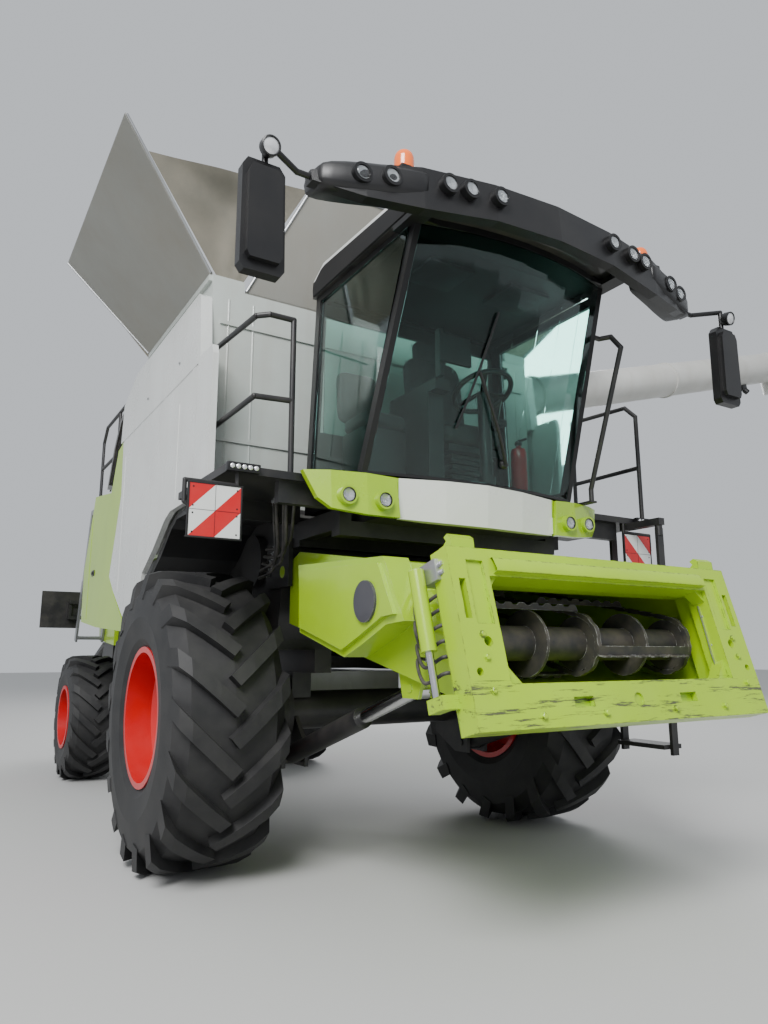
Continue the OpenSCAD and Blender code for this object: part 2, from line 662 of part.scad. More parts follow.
module side_panel_rear(side) {
  color(lime) on_side(side) difference() {
    union() {
      side_cut(panel_x - panel_t, panel_x, [[1900 + clear, seam_z - 6], [2080, 3160], [2280, 2800], [3050, 2900],
        [3420, 2170], [3380, 1640], [2600, 1560], [1330, 1480], [1930 + clear, 1850 - clear], [2140 + clear, 2000],
        [1850 + clear, 2700]]);
      for (z = panel_hinge_z) {
        block([panel_x - 28, 3370, z], [panel_x - 12, panel_hinge_y, z + 30]);
        bar_z(panel_hinge_x, panel_hinge_y, z, z + 30, 12);
      }
    }
    for (z = panel_hinge_z) bar_z(panel_hinge_x, panel_hinge_y, z - 5, z + 35, 5 + seat);
  }
}

module wheel_arches() {
  color(dark) for (side = [-1, 1]) on_side(side) {
    side_cut(thresher_x + seat, panel_x - panel_t - clear, [[-120, 2276], [230, 2270], [350, 2225], [620, 2055],
      [900, 1900], [970, 1720], [1290, 1470], [1240, 1440], [930, 1680], [860, 1870], [590, 2010], [340, 2180],
      [220, 2230], [-120, 2236]]);
  }
}

// Cab

function screen_x(z) = 830 - 80 * (z - screen_z0) / (screen_z1 - screen_z0);
function screen_y(z) = screen_y0 + (screen_y1 - screen_y0) * (z - screen_z0) / (screen_z1 - screen_z0);

// One level of the curved windscreen, from right to left
function screen_row(z, inset) = [for (i = [0:8])
  let (u = -1 + i / 4)
  [u * (screen_x(z) - inset), screen_y(z) - screen_bulge * (1 - u * u), z]];

module windscreen() {
  color(glass_tint) skin([screen_row(screen_z0 + seat, 40), screen_row(screen_z1 - seat, 40)], [0, glass_t, 0]);
}

// Outline of the roof frame, widened by a gap
module roof_outline(gap) {
  polygon(concat([for (p = screen_row(screen_z1, -gap)) [p[0], p[1] - gap]],
    [[cab_top_x + gap, cab_rear_y + gap], [-cab_top_x - gap, cab_rear_y + gap]]));
}

// The cab door's vertical hinge, outside the rear left pillar
door_hinge = [cab_x + 26, cab_rear_y - 63];
door_hinge_z = [2450, 3450];
door_pin_r = 6;
floor_lip_z = 2322;

module cab_frame() {
  t = cab_t;
  z0 = 2190;
  color(black) {
    // Floor, with the bulged lip below the windscreen
    block([-cab_x, -1100, z0], [cab_x, cab_rear_y, screen_z0]);
    translate([0, 0, floor_lip_z]) linear_extrude(screen_z0 - floor_lip_z) polygon(concat(
      [for (p = screen_row(screen_z0, 0)) [p[0], p[1] + 4]], [[cab_x, cab_rear_y], [-cab_x, cab_rear_y]]));
    // Roof frame under the roof panel
    translate([0, 0, screen_z1]) linear_extrude(40) difference() {
      roof_outline(0);
      polygon([[-cab_top_x + 90, cab_rear_y - 80], [cab_top_x - 90, cab_rear_y - 80], [cab_top_x - 100, screen_y1 + 110],
        [-cab_top_x + 100, screen_y1 + 110]]);
    }
    for (side = [-1, 1]) on_side(side) {
      // Front pillar
      skin([[[830 - 38, screen_y0, screen_z0 - 5], [830, screen_y0, screen_z0 - 5]],
        [[750 - 38, screen_y1, screen_z1 + 5], [750, screen_y1, screen_z1 + 5]]], [0, t, 0]);
      // Rear pillar
      skin([[[cab_x - t, cab_rear_y - t, screen_z0 - 5], [cab_x, cab_rear_y - t, screen_z0 - 5]],
        [[cab_top_x - t, cab_rear_y - t, screen_z1 + 5], [cab_top_x, cab_rear_y - t, screen_z1 + 5]]], [0, t, 0]);
    }
    // Rear wall up to the window
    block([-cab_x + t, cab_rear_y - 30, screen_z0 - 5], [cab_x - t, cab_rear_y, 2760]);
    block([-cab_top_x + t - 10, cab_rear_y - 30, 3600], [cab_top_x - t + 10, cab_rear_y, screen_z1 + 5]);
    // Lower halves and pins of the door's hinges
    for (z = door_hinge_z) {
      block([door_x(z) - 20, cab_rear_y - 56, z], [door_hinge[0], cab_rear_y - 44, z + 40 - seat]);
      bar_z(door_hinge[0], door_hinge[1], z, z + 40 - seat, 14);
      bar_z(door_hinge[0], door_hinge[1], z + 20, z + 78, door_pin_r);
    }
  }
}

// Rear face of the front pillar at one height
function pillar_y(z) = screen_y0 + cab_t + (screen_y1 - screen_y0) * (z - screen_z0 + 5) / (screen_z1 - screen_z0 + 10);

module cab_glass() {
  z0 = screen_z0 + seat;
  z1 = screen_z1 - seat;
  rear_y = cab_rear_y - cab_t - seat;
  color(glass_tint) {
    // Right side window
    skin([[[-cab_x + 18, pillar_y(z0) + seat, z0], [-cab_x + 18, rear_y, z0]],
      [[-cab_top_x + 18, pillar_y(z1) + seat, z1], [-cab_top_x + 18, rear_y, z1]]], [glass_t, 0, 0]);
    // Rear window
    block([-cab_top_x + cab_t + 5, cab_rear_y - 20, 2760], [cab_top_x - cab_t - 5, cab_rear_y - 20 + glass_t, 3600]);
  }
}

// The door's leaf: a frame of four sides hung at the cab's rear left pillar
door_gap = 6;
function door_x(z) = cab_x - (cab_x - cab_top_x) * (z - screen_z0) / (screen_z1 - screen_z0);

module door_strip(z0, y0, z1, y1, w) {
  skin([[[door_x(z0) - 22, y0, z0], [door_x(z0) - 22, y0 + w, z0]],
    [[door_x(z1) - 22, y1, z1], [door_x(z1) - 22, y1 + w, z1]]], [34, 0, 0]);
}

module cab_door() {
  z0 = screen_z0 + door_gap;
  z1 = screen_z1 - door_gap;
  yf0 = screen_y(z0) + cab_t + door_gap;
  yf1 = screen_y(z1) + cab_t + door_gap;
  yr = cab_rear_y - cab_t - door_gap;
  color(black) difference() {
    union() {
      door_strip(z0, yf0, z1, yf1, 45);
      door_strip(z0, yr - 45, z1, yr - 45, 45);
      door_strip(z0, yf0, z0 + 60, yf0 - 20, yr - yf0);
      door_strip(z1 - 60, yf1 + 20, z1, yf1, yr - yf1 - 20);
      // Upper halves of the hinges
      for (z = door_hinge_z) {
        block([door_x(z) - 5, door_hinge[1] - 28, z + 40], [door_hinge[0], door_hinge[1] - 8, z + 80]);
        bar_z(door_hinge[0], door_hinge[1], z + 40, z + 80, 14);
      }
    }
    for (z = door_hinge_z) bar_z(door_hinge[0], door_hinge[1], z + 30, z + 90, door_pin_r + seat);
  }
}

module cab_door_glass() {
  z0 = screen_z0 + door_gap + 60 + seat;
  z1 = screen_z1 - door_gap - 60 - seat;
  front = cab_t + door_gap + 45 + seat;
  rear_y = cab_rear_y - cab_t - door_gap - 45 - seat;
  color(glass_tint) skin([[[door_x(z0) - 10, screen_y(z0) + front, z0], [door_x(z0) - 10, rear_y, z0]],
    [[door_x(z1) - 10, screen_y(z1) + front, z1], [door_x(z1) - 10, rear_y, z1]]], [glass_t, 0, 0]);
}

module cab_roof() {
  color(pale) side_cut(-cab_top_x - 20, cab_top_x + 20, [[cab_rear_y + 20, 3730 + seat], [cab_rear_y + 20, 3850],
    [-700, 3930], [-1700, 3885], [-1965, 3840], [-1965, 3800], [-1900, 3730 + seat]]);
}

// Black visor over the windscreen with its two lamp wings
visor_rows = [
  // x, front y, top z, bottom z
  [-1460, -1880, 3690, 3620], [-1200, -1980, 3760, 3560], [-900, -2060, 3800, 3550], [-450, -2110, 3830, 3600],
  [0, -2130, 3840, 3610], [450, -2110, 3830, 3600], [900, -2060, 3800, 3550], [1200, -1980, 3760, 3560],
  [1460, -1880, 3690, 3620]];
visor_t = 70;
beacon_shelf_z = 3806;

// Work lamps: place across and height, on the visor and on the fascia
lamp_r = 42;
lamp_t = 18;
visor_lamps = [[440, 3740], [630, 3730], [760, 3725], [1080, 3690], [1230, 3680]];
fascia_lamps = [[725, 2160], [940, 2175]];
function visor_y(x) = lookup(x, [for (v = visor_rows) [v[0], v[1]]]);
function fascia_y(x) = lookup(x, [[612, -1362], [820, -1352], [1020, -1292], [1090, -1252]]);
lamp_places = concat([for (p = visor_lamps) [p[0], visor_y(p[0]) - 4, p[1]]],
  [for (p = fascia_lamps) [p[0], fascia_y(p[0]) - 6, p[1]]]);

// Round pods that hold the lamps of one row
module lamp_pods(first, last) {
  for (i = [first:last]) translate(lamp_places[i]) rotate([90, 0, 0]) difference() {
    translate([0, 0, -40]) cylinder(h = 40 + lamp_t + 6, r = lamp_r + 12);
    translate([0, 0, -seat]) cylinder(h = lamp_t + 10, r = lamp_r + seat);
  }
}

// Room for the lamps in what carries them
module lamp_rooms(first, last) {
  for (i = [first:last]) translate(lamp_places[i]) rotate([90, 0, 0]) translate([0, 0, -seat])
    cylinder(h = lamp_t + 30, r = lamp_r + seat);
}

module cab_visor() {
  color(black) for (side = [-1, 1]) on_side(side) lamp_pods(0, 4);
  color(black) difference() {
    union() {
      skin([[for (v = visor_rows) [v[0], v[1], v[3]]], [for (v = visor_rows) [v[0], v[1] + 20, v[2]]]], [0, visor_t, 0]);
      for (side = [-1, 1]) on_side(side) {
        block([700, -2035, screen_z1], [810, -1600, 3724]);
        block([860, -2010, 3750], [1010, -1850, beacon_shelf_z]);
      }
    }
    translate([0, 0, screen_z1 - 10]) linear_extrude(60) roof_outline(seat);
    for (side = [-1, 1]) on_side(side) lamp_rooms(0, 4);
  }
}

module work_lamps() {
  color(steel) for (side = [-1, 1]) on_side(side) for (p = lamp_places)
    translate(p) rotate([90, 0, 0]) cylinder(h = lamp_t, r = lamp_r);
}

module cab_seats() {
  color(dark) {
    translate([60, -1000, screen_z0]) {
      block([-140, -120, 0], [140, 160, 280]);
      block([-250, -260, 280], [250, 220, 400]);
      skin([[[-240, 180, 399], [240, 180, 399]], [[-180, 280, 1050], [180, 280, 1050]]], [0, 90, 0]);
    }
    block([-700, -1120, screen_z0], [-380, -760, 2760]);
    block([-700, -760, screen_z0], [-380, -680, 3150]);
  }
}

module cab_controls() {
  color(black) {
    bar_z(60, -1330, screen_z0, 2400, 55);
    rod([60, -1330, 2380], [60, -1312, 2960], 40);
    translate([60, -1308, 2975]) rotate([-25, 0, 0]) {
      rotate_extrude() translate([190, 0]) circle(r = 17);
      for (a = [0, 120, 240]) rotate([0, 0, a]) block([0, -14, -8], [185, 14, 8]);
    }
    block([-330, -1250, screen_z0], [-215, -780, 2920]);
    block([-330, -1330, 2920], [-215, -800, 2990]);
    block([-330, -1380, 2990], [-300, -1330, 3300]);
    block([-340, -1400, 3080], [-100, -1375, 3260]);
  }
}

// Fascia, platform and rails

module cab_fascia() {
  top_z = floor_lip_z - seat;
  color(pale) skin([[[-600, -1330, 2070], [-300, -1380, 2062], [0, -1400, 2060], [300, -1380, 2062], [600, -1330, 2070]],
    [[-625, -1330, 2310], [-300, -1390, 2318], [0, -1415, top_z], [300, -1390, 2318], [625, -1330, 2310]]], [0, 60, 0]);
  color(lime) for (side = [-1, 1]) on_side(side) difference() {
    skin([[[612, -1360, 2070], [820, -1350, 2072], [1020, -1290, 2100], [1090, -1250, 2160]],
      [[632, -1350, 2306], [820, -1330, 2316], [1020, -1270, top_z], [1160, -1200, top_z]]], [0, 40, 0]);
    lamp_rooms(5, 6);
  }
  color(black) {
    for (side = [-1, 1]) on_side(side) lamp_pods(5, 6);
    block([-700, -1335, 2080], [700, cab_rear_y, 2190 - seat]);
  }
}

platform_x = [1590, 1820];
// Pin of the access ladder's hinge, at the ladder's front stile
ladder_pin = [1570, -1417];
ladder_pin_r = 12;

module platform() {
  t = 45;
  color(dark) for (i = [0, 1]) on_side(i == 0 ? -1 : 1) {
    difference() {
      block([cab_x + 5, -1150, platform_z - t], [platform_x[i], tank_front_y - 20, platform_z]);
      for (y = [-1080:90:-400]) for (x = [cab_x + 60:180:platform_x[i] - 180])
        block([x, y, platform_z - 8], [x + 140, y + 50, platform_z + 1]);
    }
    for (y = [-1100, -490]) block([thresher_x - 20, y, 2140], [platform_x[i] - 330, y + 58, platform_z - t]);
  }
  color(dark) {
    // Carriers under the cab and the platforms
    for (y = [-1080, -530]) block([-thresher_x, y, 1990], [thresher_x, y + 99, 2080 - seat]);
    for (side = [-1, 1]) on_side(side) block([780, -1080, 2030], [thresher_x, -430 - seat, 2150]);
    // Arm and pin of the access ladder's hinge
    block([ladder_pin[0] - 30, ladder_pin[1] - 30, 2215], [ladder_pin[0] + 30, -1150, platform_z - t]);
    block([ladder_pin[0] - 30, -1160, 2215], [ladder_pin[0] + 30, -1090, platform_z - t + 1]);
    bar_z(ladder_pin[0], ladder_pin[1], 2150, 2216, ladder_pin_r);
  }
}

module handrails() {
  r = 17;
  zt = 3290;
  color(dark) {
    // Right side: along the platform's outer edge, then in front
    pipe([[-1420, -330, platform_z], [-1420, -330, zt], [-1420, -1080, zt - 60], [-1350, -1120, zt - 50], [-1200, -1120, zt - 50],
      [-1200, -1120, platform_z]], r);
    pipe([[-1420, -330, 2740], [-1420, -1090, 2740], [-1200, -1120, 2740]], r);
    // Left side: grab rail beside the front pillar
    pipe([[960, -1360, 2330], [960, -1360, 2420], [880, -1760, 3300], [870, -1690, 3400], [830, -1625, 3400],
      [768.5, -1625, 3400]], r);
    block([930, -1380, 2325], [990, -1120, 2337]);
    block([930, -1145, platform_z], [990, -1120, 2337]);
    // Left side: outer railing
    pipe([[1790, -420, platform_z], [1790, -420, zt], [1790, -1000, zt - 30], [1790, -1100, zt - 130],
      [1790, -1100, platform_z]], r);
    pipe([[1790, -420, 2740], [1790, -1100, 2740]], r);
  }
}

ladder_out_x = [1540, 1600];

module access_ladder() {
  top_z = 2195;
  color(dark) difference() {
    union() {
      for (y = [-1430, -1005]) block([ladder_out_x[0], y, 620], [ladder_out_x[1], y + 25, top_z]);
      for (i = [0:4]) block([ladder_out_x[0] - 60, -1405, 660 + i * 300], [ladder_out_x[1] + 60, -1005, 690 + i * 300]);
      bar_z(ladder_pin[0], ladder_pin[1], 2140, 2215 - seat, 26);
    }
    bar_z(ladder_pin[0], ladder_pin[1], 2145, 2220, ladder_pin_r + seat);
  }
}

// Mirrors, beacons and marker plates
module mirrors() {
  color(black) for (side = [-1, 1]) on_side(side) {
    front_cut(-1960, -1900, [[1650, 3000], [1828, 3000], [mirror_reach, 3030], [mirror_reach, 3520], [1826, 3560],
      [1668, 3560], [1638, 3520], [1630, 3030]]);
    front_cut(-1990, -1959, [[1668, 3050], [1812, 3050], [1826, 3080], [1826, 3480], [1808, 3520],
      [1684, 3520], [1660, 3480], [1652, 3080]]);
    pipe([[1460 + seat, -1850, 3655], [1530, -1850, 3655], [1735, -1940, 3690], [1735, -1940, 3550]], 16);
  }
}

module beacons() {
  z = beacon_shelf_z + seat;
  color(amber) for (side = [-1, 1]) translate([side * 935, -1915, z + 30]) cylinder(h = 120, r1 = 55, r2 = 40);
  color(black) {
    for (side = [-1, 1]) translate([side * 935, -1915, z]) cylinder(h = 31, r = 62);
    bar_z(410, -1200, 3908.5, 4380, 6);
  }
}

plate_size = 282;

module marker_plates() {
  color(red) for (side = [-1, 1]) on_side(side) block([1503, -1160, 1900], [1503 + plate_size, -1150, 1900 + plate_size]);
  color(black) for (side = [-1, 1]) on_side(side) {
    bar_z(1520, -1139, 1960, platform_z - 45 - seat, 12);
    pipe([[1520, -1139, 2196], [1806, -1139, 2196], [1806, -1139, 2080], [1770, -1139, 2060]], 12);
  }
}

// Feeder
feeder_pivot = [-330, 1840];
feeder_pin_r = 40;
// Thickness of the tilting frame, and its pivot pin in its bottom beam
frame_t = 122;
tilt_pin_z = -700;
tilt_pin_r = 30;
// Side tilt cylinder: place across and behind the frame's face
tilt_x = -1030;
tilt_y = 60;

module on_frame() { translate([0, frame_top_y, frame_top_z]) rotate([-frame_lean, 0, 0]) children(); }

module feeder_house() {
  color(lime) {
    difference() {
      side_cut(-feeder_x, feeder_x, [[-2120, 1700], [-520, 1955], [-380, 1900], [-380, 1500], [-2250, 1085]]);
      side_cut(-feeder_x + feeder_wall, feeder_x - feeder_wall, [[-2300, 1660], [-520, 1940], [-300, 1885], [-300, 1531],
        [-2400, 1065]]);
    }
    // Pivot pins, and the ears of the side walls that carry them
    for (side = [-1, 1]) on_side(side) {
      side_cut(feeder_x - feeder_wall, feeder_x, [feeder_pivot + [-90, feeder_pin_r - 3],
        feeder_pivot + [0, feeder_pin_r - 3], feeder_pivot + [0, 3 - feeder_pin_r],
        feeder_pivot + [-90, 3 - feeder_pin_r]]);
      bar_x(feeder_x - feeder_wall, thresher_x + 28, feeder_pivot[0], feeder_pivot[1], feeder_pin_r);
    }
    // Lugs and pins of the lift cylinders
    for (side = [-1, 1]) on_side(side) {
      for (ear = [-1, 1]) side_cut(lift_x + ear * 52 - 9, lift_x + ear * 52 + 9, [lift_eye + [-70, -50],
        lift_eye + [70, -50], lift_eye + [110, 92], lift_eye + [-110, 46]]);
      bar_x(lift_x - 66, lift_x + 66, lift_eye[0], lift_eye[1], lift_eye_pin_r);
    }
    // Front collar that carries the tilting frame, with its pivot pin
    on_frame() {
      difference() {
        block([-905, frame_t + seat, -790], [905, 220, 10]);
        block([-790, 100, -660], [790, 230, -110]);
      }
      bar_y(0, 10, 150, tilt_pin_z, tilt_pin_r);
      // Barrel of the side tilt cylinder and its bracket
      difference() {
        union() {
          bar_z(tilt_x, tilt_y + 115, -430, -60, 36);
          block([tilt_x, tilt_y + 95, -110], [-900, tilt_y + 135, -70]);
        }
        bar_z(tilt_x, tilt_y + 115, -440, -90, 18 + seat);
      }
    }
  }
}

// Slatted chains: their loop lies round the front roller and the rear sprockets
chain_front = [-2080, 1350];
chain_rear = [-480, 1735];
chain_front_r = 152;
chain_rear_r = 96;
chain_pitch = 96;
chain_h = 13;
chain_w = 26;
chain_x = [-700, 0, 700];
slat_step = 3;
slat_h = 34;
loop_run = norm(chain_rear - chain_front);
loop_lean = asin((chain_front_r - chain_rear_r) / loop_run);
loop_top = atan2(chain_rear[1] - chain_front[1], chain_rear[0] - chain_front[0]) + 90 - loop_lean;
loop_low = loop_top - 180 + 2 * loop_lean;
loop_free = loop_run * cos(loop_lean);
loop_rear_arc = chain_rear_r * (180 - 2 * loop_lean) * PI / 180;
loop_front_arc = chain_front_r * (180 + 2 * loop_lean) * PI / 180;
loop_len = 2 * loop_free + loop_rear_arc + loop_front_arc;
loop_links = round(loop_len / chain_pitch / 2 / slat_step) * 2 * slat_step;
function ray(a) = [cos(a), sin(a)];
// Direction that faces out of the loop, at a length along it
function loop_out(s) = s < loop_free ? loop_top
  : s < loop_free + loop_rear_arc ? loop_top - (s - loop_free) / chain_rear_r * 180 / PI
  : s < 2 * loop_free + loop_rear_arc ? loop_low
  : loop_low - (s - 2 * loop_free - loop_rear_arc) / chain_front_r * 180 / PI;
// Place on the loop, moved out by a height over its pitch line
function on_loop(s, out) = s < loop_free
  ? chain_front + ray(loop_top) * (chain_front_r + out) + ray(loop_top - 90) * s
  : s < loop_free + loop_rear_arc ? chain_rear + ray(loop_out(s)) * (chain_rear_r + out)
  : s < 2 * loop_free + loop_rear_arc
  ? chain_rear + ray(loop_low) * (chain_rear_r + out) + ray(loop_low - 90) * (s - loop_free - loop_rear_arc)
  : chain_front + ray(loop_out(s)) * (chain_front_r + out);

// One side of a strand, waisted between its links
function strand_side(side) = [for (i = [0:loop_links - 1]) for (part = [0.04, 0.28, 0.5, 0.72])
  on_loop((i + part) * loop_len / loop_links, side * (part < 0.1 ? chain_h - 6 : chain_h))];

// One slat across two strands: an angle bar whose standing leg is cut into teeth
module slat(x0, x1, s) {
  teeth = 8;
  tooth = (x1 - x0) / teeth;
  foot = on_loop(s, chain_h + seat);
  translate([0, foot[0], foot[1]]) rotate([loop_out(s) - 90, 0, 0]) {
    block([x0, -26, 0], [x1, 26, 5]);
    front_cut(-26, -20, concat([[x1, 4], [x0, 4]],
      [for (i = [0:teeth - 1]) each [[x0 + (i + 0.15) * tooth, slat_h - 12], [x0 + (i + 0.3) * tooth, slat_h],
        [x0 + (i + 0.7) * tooth, slat_h], [x0 + (i + 0.85) * tooth, slat_h - 12]]]));
  }
}

module feeder_chains() {
  ends = feeder_x - feeder_wall - seat;
  color(dark) {
    // Front roller with its guide discs, and the rear shaft with its sprockets
    bar_x(-ends, ends, chain_front[0], chain_front[1], roller_r);
    bar_x(-ends, ends, chain_rear[0], chain_rear[1], 34);
    for (x = chain_x) {
      bar_x(x - 9, x + 9, chain_front[0], chain_front[1], chain_front_r - chain_h - seat);
      bar_x(x - 9, x + 9, chain_rear[0], chain_rear[1], chain_rear_r - chain_h - seat);
    }
    for (x = [-350, 350]) bar_x(x - 8, x + 8, chain_front[0], chain_front[1], chain_front_r + chain_h);
    for (x = chain_x) translate([x - chain_w / 2, 0, 0]) rotate([90, 0, 90]) linear_extrude(chain_w) difference() {
      polygon(strand_side(1));
      polygon(strand_side(-1));
    }
  }
  color(steel) for (i = [0:slat_step:loop_links - 1]) {
    left = (i / slat_step) % 2;
    slat(chain_x[left] + 20 - left * 34, chain_x[left + 1] - 20 + (1 - left) * 34, (i + 0.5) * loop_len / loop_links);
  }
}

module feeder_drive_cover() {
  color(lime) {
    side_cut(-1000, -feeder_x - seat, [[-823, 1827], [-1798, 1773], [-1985, 1450], [-1830, 1440], [-1600, 1350],
      [-1409, 1284], [-860, 1427]]);
    side_cut(-1022, -999, [[-880, 1790], [-1780, 1742], [-1925, 1484], [-1815, 1476], [-1595, 1388], [-1412, 1322],
      [-890, 1456]]);
  }
  color(black) bar_x(-1036, -1022, -1671, 1558, 105);
}

module header_frame() {
  color(lime) on_frame() difference() {
    union() {
      for (side = [-1, 1]) on_side(side) {
        block([760, 0, -frame_h], [frame_x, frame_t, 0]);
        // Hook on the top, and gussets in the corners of the opening
        side_cut(800, 930, [[20, -5], [12, 52], [34, 74], [62, 66], [50, 44], [74, 30], [108, 30], [108, -5]]);
        front_cut(25, frame_t - 25, [[761, -618], [761, -510], [668, -618]]);
        front_cut(25, frame_t - 25, [[761, -125], [761, -190], [700, -125]]);
      }
      block([-frame_x, 0, -frame_h], [frame_x, frame_t, -frame_h + 190]);
      block([-frame_x, 0, -130], [frame_x, frame_t, 0]);
      // Lug of the side tilt cylinder
      block([tilt_x - 30, 95, -690], [-frame_x + 10, frame_t, -630]);
      block([tilt_x - 30, 95, -690], [tilt_x + 30, tilt_y + 150, -630 - seat]);
    }
    for (side = [-1, 1]) on_side(side) {
      bar_y(840, -10, 190, -430, 22);
      // Slot and round hole of the header's latch
      block([902, -10, -330], [936, 190, -150]);
      bar_y(915, -10, 190, -560, 17);
      // Recess in the post's front, and keyhole in the bottom beam
      block([786, -10, -350], [880, 14, -60]);
      block([300, -10, tilt_pin_z - 22], [420, 30, tilt_pin_z + 22]);
    }
    bar_y(0, -10, 190, tilt_pin_z, tilt_pin_r + seat);
  }
}

module tilt_rod() {
  // The rod's lower end is the open pivot of its linkage, so it stands clear of the frame's lug
  end_play = 1.8;
  color(steel) on_frame() bar_z(tilt_x, tilt_y + 115, -630 + end_play, -200, 18);
}

module lift_cylinder_place(side) {
  on_side(side) translate([lift_x, lift_base[0], lift_base[1]]) rotate([-lift_angle, 0, 0]) children();
}

module lift_barrels() {
  color(dark) for (side = [-1, 1]) lift_cylinder_place(side) difference() {
    union() {
      rotate([90, 0, 0]) translate([0, 0, 40]) cylinder(h = 960, r = lift_r);
      translate([-lift_r - 6, 0, 0]) rotate([0, 90, 0]) cylinder(h = 2 * lift_r + 12, r = 52);
    }
    rotate([90, 0, 0]) translate([0, 0, 150]) cylinder(h = 900, r = 38 + seat);
    translate([-100, 0, 0]) rotate([0, 90, 0]) cylinder(h = 200, r = 25 + seat);
  }
}

module lift_rods() {
  color(steel) for (side = [-1, 1]) lift_cylinder_place(side) {
    rotate([90, 0, 0]) translate([0, 0, 560]) cylinder(h = lift_len - 560 - 30, r = 38);
    translate([-40, -lift_len, 0]) rotate([0, 90, 0]) difference() {
      cylinder(h = 80, r = 52);
      translate([0, 0, -5]) cylinder(h = 90, r = lift_eye_pin_r + lift_eye_play);
    }
  }
}

// Unloading auger

// The swing axis leans, so that the tube comes down as it folds back
auger_axis = [-0.123163, 0.118236, 0.985319];
// Joint face of the elbow below the tube's middle line, along the swing axis
elbow_len = 245;

module on_auger_axis() {
  translate([auger_pivot_x, auger_pivot_y, auger_pivot_z])
    rotate([0, acos(auger_axis[2]), atan2(auger_axis[1], auger_axis[0])]) children();
}

module auger_turret() {
  color(auger_grey) {
    on_auger_axis() rotate([0, 0, 180]) bar_z(0, 0, -elbow_len - 240, -elbow_len - seat, 200);
    block([tank_x + seat, auger_pivot_y - 160, seam_z + 50], [auger_pivot_x, auger_pivot_y + 80, seam_z + 190]);
  }
}

module auger_tube() {
  color(auger_grey) {
    translate([auger_pivot_x, auger_pivot_y, auger_pivot_z]) {
      rotate([0, 90 - auger_rise, 0]) {
        cylinder(h = auger_len - 300, r = auger_r);
        translate([0, 0, auger_len - 340]) cylinder(h = 340, r = auger_r + 12);
        // Flanges at the elbow and at the tube's joint
        for (along = [300, 2420]) translate([0, 0, along]) cylinder(h = 30, r = auger_r + 14);
        // Spout that turns the grain down
        translate([0, 0, auger_len - 230]) rotate([0, 90, 0]) cylinder(h = 330, r = auger_r - 22);
      }
      sphere(r = auger_r + 4);
    }
    on_auger_axis() {
      bar_z(0, 0, -elbow_len, 0, auger_r);
      bar_z(0, 0, -elbow_len, -elbow_len + 25, 200);
    }
  }
}

placed() chassis();
placed() front_axle();
placed() rear_axle();
placed() thresher_body();
placed() cleaning_shoe();
placed() engine_block();
placed() grain_tank();
placed() tank_side_bands();
placed() engine_housing();
placed() rear_hood();
placed() straw_chopper();
placed() rear_lights();
placed() rear_ladder();
placed() rear_ladder_foot();
placed() engine_deck_rails();
placed() tank_corner_canvas();
placed() side_flap(-1);  // tank_flap_right
placed() side_flap(1);  // tank_flap_left
placed() tank_flap_front();
placed() tank_flap_rear();
placed() side_panel_front(-1);  // side_panel_right_front
placed() side_panel_rear(-1);  // side_panel_right_rear
placed() side_panel_front(1);  // side_panel_left_front
placed() side_panel_rear(1);  // side_panel_left_rear
placed() wheel_arches();
placed() cab_frame();
placed() cab_roof();
placed() cab_visor();
placed() work_lamps();
placed() windscreen();
placed() cab_glass();
placed() cab_door();
placed() cab_door_glass();
placed() cab_seats();
placed() cab_controls();
placed() cab_fascia();
placed() platform();
placed() handrails();
placed() access_ladder();
placed() mirrors();
placed() beacons();
placed() marker_plates();
placed() feeder_house();
placed() feeder_chains();
placed() feeder_drive_cover();
placed() header_frame();
placed() tilt_rod();
placed() lift_barrels();
placed() lift_rods();
placed() auger_turret();
placed() auger_tube();
placed() steering_knuckle(-1);  // steering_knuckle_right
placed() steering_knuckle(1);  // steering_knuckle_left
placed() steering_rod();
placed() front_tyre(-1);  // front_tyre_right
placed() front_tyre(1);  // front_tyre_left
placed() front_rim(-1);  // front_rim_right
placed() front_rim(1);  // front_rim_left
placed() rear_wheel(-1);  // rear_wheel_right
placed() rear_wheel(1);  // rear_wheel_left
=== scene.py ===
# %% [markdown]
# A combine harvester, dressed for its photograph.
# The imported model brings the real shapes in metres. This script gives each of them a finish, adds the small
# things that a solid model leaves out, such as hoses, bolts and lamp glass, and sets up a plain studio.

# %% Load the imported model
import math
import random

import bmesh
import bpy
from mathutils import Matrix, Vector
from mathutils.bvhtree import BVHTree


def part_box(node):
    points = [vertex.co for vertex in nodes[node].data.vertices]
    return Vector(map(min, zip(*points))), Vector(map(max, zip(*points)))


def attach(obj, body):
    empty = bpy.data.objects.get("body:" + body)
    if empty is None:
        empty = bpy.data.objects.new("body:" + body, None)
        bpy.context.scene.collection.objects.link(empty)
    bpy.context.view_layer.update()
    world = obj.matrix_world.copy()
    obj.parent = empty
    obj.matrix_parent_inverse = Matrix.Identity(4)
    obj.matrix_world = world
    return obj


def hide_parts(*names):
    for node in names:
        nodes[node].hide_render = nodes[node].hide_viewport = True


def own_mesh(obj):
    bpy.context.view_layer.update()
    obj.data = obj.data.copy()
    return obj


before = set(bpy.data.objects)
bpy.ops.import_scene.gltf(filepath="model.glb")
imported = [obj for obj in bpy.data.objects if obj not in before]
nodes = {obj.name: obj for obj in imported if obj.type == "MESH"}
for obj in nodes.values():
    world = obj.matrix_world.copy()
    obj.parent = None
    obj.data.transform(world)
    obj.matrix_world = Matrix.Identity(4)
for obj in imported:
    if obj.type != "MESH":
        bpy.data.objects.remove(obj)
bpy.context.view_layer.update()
print("nodes loaded:", len(nodes))

# %% [markdown]
# Sizes on the machine are easiest to read from the middle of the front axle, on the ground. The model's own
# origin lies under the middle of its box. Every place could be typed in the model's own numbers, but one
# shift keeps them readable: sideways, back from the front axle, and up from the ground.

